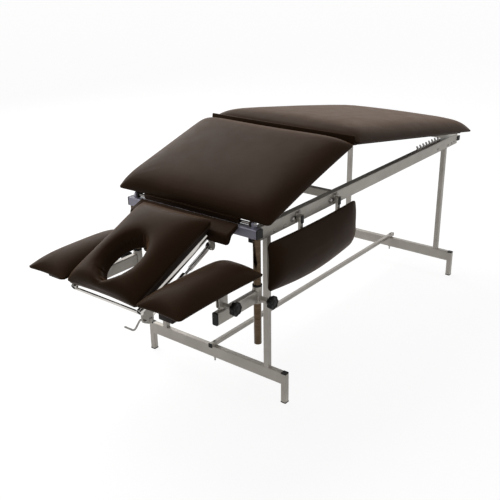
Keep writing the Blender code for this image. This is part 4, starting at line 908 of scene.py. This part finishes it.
def knobHead():
    # lobed hand knob along +Z from its neck: a ring whose radius swings with a cosine, rounded at both rims,
    # a dished face and a raised cap
    setup = knobSetup
    angle = np.linspace(0, 2 * pi, setup["lobePoints"] * setup["lobes"], endpoint=False)
    lobe = setup["radius"] - setup["lobeDepth"] * (1 - np.cos(setup["lobes"] * angle)) / 2
    turn = np.linspace(0, pi / 2, setup["roundPoints"])
    inset = setup["round"] * (1 - np.sin(turn))
    rise = setup["round"] * (1 - np.cos(turn))
    start, end = setup["neckLength"], setup["neckLength"] + setup["thick"]
    floor, step = end - setup["dishDeep"], end - setup["dishStep"]
    rows = [(0, 0.0), (setup["neckFoot"], 0.0), (setup["neck"], setup["neckEdge"]),
            (setup["neck"], start - setup["flare"]), (setup["neck"] + setup["flare"], start)]
    rows += [(lobe - i, start + r) for i, r in zip(inset, rise)]
    rows += [(lobe - i, end - r) for i, r in zip(inset[::-1], rise[::-1])]
    rows += [(setup["dishRim"] * lobe + setup["dishOut"], step), (setup["dishFloor"] * lobe, floor),
             (setup["capFoot"], floor), (setup["capRim"], step), (setup["capTop"], end), (0, end)]
    radius = np.stack([r + 0 * angle for r, h in rows])
    height = np.array([h for r, h in rows])[:, None] + 0 * radius
    return surface(np.stack([radius * np.cos(angle), radius * np.sin(angle), height], -1))


def makeKnob(name, node, sign, body, screwLength):
    # the knob's face keeps the CAD knob's reach outwards, and a screw runs inwards from its seat
    low, high = localBox(node)
    x, _, z = pivots[node.replace("_knob", "_knob_turn")]
    end = high[1] if sign > 0 else low[1]
    seat = (x, end - sign * (knobSetup["neckLength"] + knobSetup["thick"]), z)
    screw = roundBar(knobSetup["screw"], screwLength, knobSetup["screwEdge"], knobSetup["screwPoints"])
    shape = together([along(knobHead(), (0, sign, 0), seat), along(screw, (0, -sign, 0), seat)])
    obj = piece(name, shape, nylon, body, sharp=50)
    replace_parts(obj, node)


postSetup = {"wall": 0.002, "edge": 0.0005, "bushEdge": 0.0012, "bushProud": 0.0002, "count": 48}


def makePost(side):  # an upright tube, and the bush that slides on it; gives the post's centre line
    label = side.capitalize()
    low, high = localBox(f"arm_post_{side}")
    centre = (low + high) / 2
    radius, tall = (high[0] - low[0]) / 2, high[2] - low[2]
    post = hollowBar(radius, postSetup["wall"], tall, postSetup["edge"], postSetup["count"])
    shape = moved(post, (centre[0], centre[1], low[2]))
    obj = piece(f"armPost{label}", shape, postSteel, "frame")
    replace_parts(obj, f"arm_post_{side}")
    bushLow, bushHigh = localBox(f"arm_bush_{side}")
    wall = sleeveSetup["radius"] - sleeveSetup["bore"]
    bush = hollowBar(sleeveSetup["radius"] + postSetup["bushProud"], wall, bushHigh[2] - bushLow[2],
                     postSetup["bushEdge"], postSetup["count"])
    shape = moved(bush, (centre[0], centre[1], bushLow[2]))
    obj = piece(f"armBush{label}", shape, nylon, f"arm_bush_{side}")
    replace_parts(obj, f"arm_bush_{side}")
    return centre


sleeveSetup = {
    "radius": 0.0155, "bore": 0.0129, "height": 0.057, "edge": 0.0008, "count": 48, "barLift": 0.004,
    "barWidth": 0.020, "barHeight": 0.042, "barLength": 0.204, "barCorner": 0.0045, "barSteps": 5,
    "barFrom": 0.0135, "barEdge": 0.0004, "plugSink": 0.003, "plugLap": 0.0002, "plugThick": 0.0062,
    "plugEdge": 0.0012, "bossRadius": 0.010, "bossLength": 0.027, "bossSink": 0.002, "bossEdge": 0.001,
    "bossHeight": 0.015, "weldGrow": (1.06, 1.02), "weldRadius": 0.0014, "weldOut": 0.0002,
    "weldLeast": 1e-6, "weldPoints": 8,
}
tongueSetup = {"thick": 0.006, "radius": 0.012, "spread": 0.0192, "at": 0.172, "rise": 0.015, "sink": 0.001,
               "edge": 0.0005, "arcPoints": 15}


def makeSleeve(side, sign, centre):
    # from the sleeve's foot: a tube, a rounded bar toward the head, a boss for the lift knob, a tongue on the
    # bar with a half-round top, and a weld round the bar's end, each point pushed out to the tube's circle
    label, setup, tip = side.capitalize(), sleeveSetup, tongueSetup
    foot = np.array([centre[0], centre[1], localBox(f"arm_sleeve_{side}")[0][2]])
    low, high = setup["barLift"], setup["barLift"] + setup["barHeight"]
    half = setup["barWidth"] / 2
    profile = [(half, high), (-half, high), (-half, low), (half, low)]
    profile = smoothCorners(profile, setup["barCorner"], setup["barSteps"])
    barEnd = -setup["barLength"] + setup["plugSink"]
    bar = alongBar(plate(profile, barEnd, -setup["barFrom"], setup["barEdge"]))
    boss = roundBar(setup["bossRadius"], setup["bossLength"] + setup["bossSink"], setup["bossEdge"])
    boss = along(boss, (0, sign, 0), (0, sign * (setup["radius"] - setup["bossSink"]), setup["bossHeight"]))
    turn = np.linspace(0, pi, tip["arcPoints"])
    arc = np.stack([np.cos(turn), np.sin(turn)], -1) * tip["radius"]
    base = -tip["rise"] - tip["sink"]
    tongue = np.vstack([arc, [(-tip["spread"], base), (tip["spread"], base)]])
    tongue = tongue + (-tip["at"], high + tip["rise"])
    tongue = onSide(plate(tongue, -tip["thick"] / 2, tip["thick"] / 2, tip["edge"]))
    ring = profile * setup["weldGrow"]
    reach = np.sqrt(np.maximum(setup["radius"] ** 2 - ring[:, 0] ** 2, setup["weldLeast"]))
    weld = np.column_stack([-reach - setup["weldOut"], ring[:, 0], ring[:, 1]])
    weld = sweep(np.vstack([weld, weld[:1]]), setup["weldRadius"], (1, 0, 0), setup["weldPoints"])
    wall = setup["radius"] - setup["bore"]
    sleeve = hollowBar(setup["radius"], wall, setup["height"], setup["edge"], setup["count"])
    shape = moved(together([sleeve, bar, boss, tongue, weld]), foot)
    obj = piece(f"armSleeve{label}", shape, enamel, f"arm_sleeve_{side}")
    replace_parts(obj, f"arm_sleeve_{side}")
    plug = alongBar(plate(profile, -setup["plugThick"], 0.0, setup["plugEdge"]))
    plug = moved(plug, foot + (barEnd + setup["plugLap"], 0, 0))
    piece(f"armBarPlug{label}", plug, nylon, f"arm_sleeve_{side}")


bracketSetup = {
    "play": 0.0004, "cheek": 0.004, "cheekHalf": 0.022, "cheekWaist": 0.019, "waistDrop": 0.008,
    "edge": 0.0005, "footDeep": 0.8, "footDrop": 0.002, "belowBoard": 0.002, "flangeReach": 0.020,
    "flangeFall": 0.001, "flangeRise": 0.0022, "flangeEdge": 0.0006, "screwAlong": 0.020,
    "screwOut": 0.013, "screw": (0.0042, 0.0026), "nut": (0.0065, 0.0045, 0.003, 6), "spacer": 0.0075,
    "spacerEnd": 0.0350, "spacerSink": 0.0005, "spacerEdge": 0.0008,
}
plankSetup = {"thick": 0.010, "gap": 0.0003, "edge": 0.0012, "battenFrom": 0.012, "battenTo": 0.162,
              "battenHalf": 0.026, "battenFall": {"left": 0.0243, "right": 0.036}}


def makeBracket(side, sign):
    # about the tilt joint: two cheeks with an elliptic foot, each with a flange and two screws under the
    # board, a nut on one side and a spacer to the knob on the other; then the pad's plank with its batten
    label, setup, wood = side.capitalize(), bracketSetup, plankSetup
    tilt = pivots[f"arm_tilt_{side}"]
    boardLow, boardHigh = localBox(f"arm_board_{side}")
    plankTop = localBox(f"arm_pad_{side}")[0][2] - wood["gap"]
    plankLow = plankTop - wood["thick"]
    top = plankLow - tilt[2] - setup["belowBoard"]
    waist, length = setup["cheekWaist"], setup["cheekHalf"]
    turn = np.linspace(pi, 2 * pi, tongueSetup["arcPoints"])
    deep = tongueSetup["radius"] * np.sin(turn) * setup["footDeep"] - setup["footDrop"]
    neck = top - setup["waistDrop"]
    rim = [(waist, neck), (length, top), (-length, top), (-waist, neck)]
    cheek = np.vstack([np.stack([waist * np.cos(turn), deep], -1), rim])
    near = tongueSetup["thick"] / 2 + setup["play"]
    outer, under = near + setup["cheek"], top - setup["flangeFall"]
    shapes = []
    for hand in (1, -1):
        shapes.append(onSide(plate(cheek, *sorted((hand * near, hand * outer)), setup["edge"])))
        start, end = sorted((hand * near, hand * (near + setup["flangeReach"])))
        over = top + setup["flangeRise"]
        shapes.append(block((-length, start, under), (length, end, over), setup["flangeEdge"]))
        y = hand * (near + setup["screwOut"])
        for x in (-setup["screwAlong"], setup["screwAlong"]):
            shapes.append(along(dome(*setup["screw"]), (0, 0, -1), (x, y, under)))
    shapes.append(along(dome(*setup["nut"]), (0, -sign, 0), (0, -sign * outer, 0)))
    spacerStart = outer - setup["spacerSink"]
    spacer = roundBar(setup["spacer"], setup["spacerEnd"] - spacerStart, setup["spacerEdge"])
    shapes.append(along(spacer, (0, sign, 0), (0, sign * spacerStart, 0)))
    shape = moved(together(shapes), tilt)
    obj = piece(f"armBracket{label}", shape, enamel, f"arm_rest_{side}")
    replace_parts(obj, f"arm_board_{side}")
    x, middle, half = boardLow[0], (boardLow[1] + boardHigh[1]) / 2, wood["battenHalf"]
    plank = block((x, boardLow[1], plankLow), (boardHigh[0], boardHigh[1], plankTop), wood["edge"])
    battenLow, battenTop = plankTop + wood["gap"] - wood["battenFall"][side], plankLow + wood["gap"]
    batten = block((x + wood["battenFrom"], middle - half, battenLow),
                   (x + wood["battenTo"], middle + half, battenTop), wood["edge"])
    piece(f"armPlank{label}", together([plank, batten]), board, f"arm_rest_{side}")


def makeArm(side, sign):  # each knob is named for its body, and its screw reaches what it clamps
    label = side.capitalize()
    makeSleeve(side, sign, makePost(side))
    liftScrew = sleeveSetup["bossLength"] + knobSetup["screwPast"]
    for use, length in (("lift", liftScrew), ("tilt", knobSetup["tiltScrew"])):
        makeKnob(f"{use}Knob{label}", f"{use}_knob_{side}", sign, f"{use}_knob_{side}", length)
    makeBracket(side, sign)


for sideName, sideSign in sides.items():
    makeArm(sideName, sideSign)
print("arm rests made")


# fasteners, plugs and feet on the frame: a head is (radius, height, foot, count), a bar (radius, length,
# edge, count), a screw's place (from the head leg, height)
fastenerSetup = {
    "headEnd": [(0.0271, 0.604), (0.0817, 0.603)],
    "footEnd": [(1.2172, 0.607), (1.3217, 0.603), (1.357, 0.603), (1.3829, 0.605)],
    "small": (0.0048, 0.0032, 0.0004), "washer": (0.0115, 0.0022, 0.0007, 28),
    "bolt": (0.0078, 0.0062, 0.0012, 24), "boltBefore": 0.012, "boltSink": 0.002,
}


def railFasteners():
    # domed screws along both rails, measured from the head leg, and a bolt on a washer before each bracket
    setup = fastenerSetup
    headLeg = np.mean([corner[0] for corner in localBox("leg_head_right")])
    face = localBox("rail_right")[0][1]
    shapes = []
    for x, z in setup["headEnd"] + setup["footEnd"]:
        shapes.append(along(dome(*setup["small"]), (0, -1, 0), (x + headLeg, face, z)))
    for end in ("head", "foot"):
        low, high = localBox(f"side_bracket_right_{end}")
        x, z = low[0] - setup["boltBefore"], (low[2] + high[2]) / 2
        shapes.append(along(roundBar(*setup["washer"]), (0, -1, 0), (x, face, z)))
        shapes.append(along(dome(*setup["bolt"]), (0, -1, 0), (x, face - setup["boltSink"], z)))
    shape = together(shapes)
    piece("railFasteners", together([shape, mirrored(shape)]), zinc, "frame")


hangerSetup = {
    "strapBefore": 0.014, "strapLap": 0.002, "strapThick": 0.004, "strapHalf": 0.005, "strapEdge": 0.0008,
    "stud": (0.0034, 0.012, 0.0005, 16), "studPast": 0.003, "studIn": 0.013, "studSink": 0.003,
    "nut": (0.0066, 0.005, 0.004, 6), "nutSink": 0.002, "barHalf": 0.006, "plugHalf": 0.0072,
    "plugOut": 0.0042, "plugLap": 0.0004, "plugFall": 0.0185, "plugRise": 0.0068, "plugEdge": 0.0011,
}


def hangerTrim():
    # on each bracket a black strip to the washer, painted shade for the shadow beside the bracket, and a stud with
    # its nut; on each hanging bar a black end plug
    setup = hangerSetup
    shadeStrips, metal, plugs = [], [], []
    out = pivots["side_pad_swing_right"][1] - setup["barHalf"]
    for end in ("head", "foot"):
        low, high = localBox(f"side_bracket_right_{end}")
        x, _, z = (low + high) / 2
        # the black strip stands where only shade falls between washer and bracket: painted shade
        shadeStripLow = (low[0] - setup["strapBefore"], high[1] - setup["strapThick"], z - setup["strapHalf"])
        shadeStripHigh = (low[0] + setup["strapLap"], high[1], z + setup["strapHalf"])
        shadeStrips.append(block(shadeStripLow, shadeStripHigh, setup["strapEdge"]))
        stand = np.array([x + setup["studPast"], low[1] + setup["studIn"], high[2]])
        metal.append(along(roundBar(*setup["stud"]), (0, 0, 1), stand - (0, 0, setup["studSink"])))
        metal.append(along(dome(*setup["nut"]), (0, 0, 1), stand - (0, 0, setup["nutSink"])))
        plugLow = (x - setup["plugHalf"], out - setup["plugOut"], z - setup["plugFall"])
        plugHigh = (x + setup["plugHalf"], out + setup["plugLap"], z + setup["plugRise"])
        plugs.append(block(plugLow, plugHigh, setup["plugEdge"]))
    shapes = {"hangerStraps": (shadeStrips, nylon, "black_plastic"), "hangerStuds": (metal, zinc, "zinc_steel")}
    for name, (parts, material, slot) in shapes.items():
        shape = together(parts)
        piece(name, together([shape, mirrored(shape)]), material, "frame")
    plug = together(plugs)
    piece("hangerPlugsRight", plug, nylon, "side_pad_right")
    piece("hangerPlugsLeft", mirrored(plug), nylon, "side_pad_left")


plugSetup = {"crossbar": 0.004, "stretcher": 0.0035, "edge": 0.001, "railInset": 0.002, "railCorner": 0.002,
             "railSteps": 4, "railThick": 0.006, "railEdge": 0.0006, "railSink": 0.0066}


def squarePlug(half, height):  # a square cap on z = 0
    return block((-half, -half, 0), (half, half, height), plugSetup["edge"])


def endPlugs():
    # caps on both ends of the foot crossbar and the stretcher, and inside the rails' head ends
    setup = plugSetup
    shapes = []
    low, high = localBox("foot_crossbar")
    x, _, z = (low + high) / 2
    cap = squarePlug((high[0] - low[0]) / 2, setup["crossbar"])
    for sign in (1, -1):
        shapes.append(along(cap, (0, sign, 0), (x, sign * high[1], z)))
    low, high = localBox("stretcher")
    _, y, z = (low + high) / 2
    cap = squarePlug((high[2] - low[2]) / 2, setup["stretcher"])
    for sign, x in ((-1, low[0]), (1, high[0])):
        shapes.append(along(cap, (sign, 0, 0), (x, y, z)))
    for side in sides:
        low, high = localBox(f"rail_{side}")
        _, y, z = (low + high) / 2
        wide, tall = (high[1:] - low[1:]) / 2 - setup["railInset"]
        corners = [(wide, tall), (-wide, tall), (-wide, -tall), (wide, -tall)]
        corners = smoothCorners(corners, setup["railCorner"], setup["railSteps"])
        cap = alongBar(plate(corners, -setup["railThick"], 0.0, setup["railEdge"]))
        shapes.append(moved(cap, (low[0] + setup["railSink"], y, z)))
    piece("endPlugs", together(shapes), nylon, "frame")


feetSetup = {"tubeHalf": 0.010, "soleHalf": 0.0107, "soleHigh": 0.005, "soleEdge": 0.0012,
             "bolt": (0.0062, 0.0042, 0.001), "stud": (0.003, 0.018, 0.0005, 16),
             "nut": (0.0062, 0.005, 0.004, 6), "baseHigh": 0.044}


def feetAndBolts():
    # a rubber sole under each foot tube; through each end of the stretcher a bolt, its stud and nut below
    setup = feetSetup
    soles, bolts = [], []
    top = localBox("stretcher")[1][2]
    half = setup["soleHalf"]
    for end in ("head", "foot"):
        low, high = localBox(f"{end}_base")
        x = (low[0] + high[0]) / 2
        for sign in (1, -1):
            y = sign * (high[1] - setup["tubeHalf"])
            sole = block((-half, -half, 0.0), (half, half, setup["soleHigh"]), setup["soleEdge"])
            soles.append(moved(sole, (x, y, 0)))
        under = (x, 0, high[2] - setup["baseHigh"])
        bolts.append(along(dome(*setup["bolt"]), (0, 0, 1), (x, 0, top)))
        bolts.append(along(roundBar(*setup["stud"]), (0, 0, -1), under))
        bolts.append(along(dome(*setup["nut"]), (0, 0, -1), under))
    piece("footSoles", together(soles), nylon, "frame")
    piece("stretcherBolts", together(bolts), zinc, "frame")


railFasteners()
hangerTrim()
endPlugs()
feetAndBolts()
print("fasteners set")


# light and floor
stageSetup = {"world": 0.33, "floor": "#8e8e8e", "glow": 0.86, "half": 40, "rough": 0.9, "gloss": 0.1}
lampSetup = {"place": (0.3, 2.6, 3.0), "aim": (-0.2, 0.0, 0.6), "power": 100, "size": 4.0}


def seenRays(tree):  # 1 for what the camera sees, straight, mirrored or through something
    rays = addNode(tree, "ShaderNodeLightPath").outputs
    links = {0: rays["Is Camera Ray"], 1: rays["Is Glossy Ray"]}
    some = addNode(tree, "ShaderNodeMath", {"operation": "ADD"}, links=links)
    links = {0: some.outputs["Value"], 1: rays["Is Transmission Ray"]}
    every = addNode(tree, "ShaderNodeMath", {"operation": "ADD", "use_clamp": True}, links=links)
    return every.outputs["Value"]


def makeLight():
    # a white room that looks full white but lights the table less, and one large soft lamp
    world = bpy.data.worlds.new("softRoom")
    bpy.context.scene.world = world
    world.use_nodes = True
    sky = world.node_tree.nodes["Background"]
    sky.inputs["Color"].default_value = (1, 1, 1, 1)
    values = {"To Min": stageSetup["world"], "To Max": 1.0}
    links = {"Value": seenRays(world.node_tree)}
    strength = addNode(world.node_tree, "ShaderNodeMapRange", values=values, links=links)
    world.node_tree.links.new(strength.outputs["Result"], sky.inputs["Strength"])
    lamp = bpy.data.objects.new("softboxLeft", bpy.data.lights.new("softboxLeft", "AREA"))
    lamp.data.energy = lampSetup["power"]
    lamp.data.size = lampSetup["size"]
    lamp.location = lampSetup["place"]
    beam = Vector(lampSetup["aim"]) - Vector(lampSetup["place"])
    lamp.rotation_euler = beam.to_track_quat("-Z", "Y").to_euler()
    bpy.context.scene.collection.objects.link(lamp)


def makeFloor():
    # one square on z = 0 that takes shadows and glows toward the camera
    half = stageSetup["half"]
    floor = bpy.data.objects.new("floor", bpy.data.meshes.new("floor"))
    corners = [(-half, -half, 0), (half, -half, 0), (half, half, 0), (-half, half, 0)]
    floor.data.from_pydata(corners, [], [(0, 1, 2, 3)])
    bpy.context.scene.collection.objects.link(floor)
    paint = bpy.data.materials.new("paleFloor")
    paint.use_nodes = True
    tree = paint.node_tree
    shader = tree.nodes["Principled BSDF"]
    shader.inputs["Base Color"].default_value = linear(stageSetup["floor"])
    shader.inputs["Roughness"].default_value = stageSetup["rough"]
    shader.inputs["Specular IOR Level"].default_value = stageSetup["gloss"]
    shader.inputs["Emission Color"].default_value = (1, 1, 1, 1)
    share = {1: stageSetup["glow"]}
    glow = addNode(tree, "ShaderNodeMath", {"operation": "MULTIPLY"}, share, {0: seenRays(tree)})
    tree.links.new(glow.outputs["Value"], shader.inputs["Emission Strength"])
    floor.data.materials.append(paint)


makeLight()
makeFloor()
bpy.context.scene.view_settings.view_transform = "Standard"
print("light and floor set")
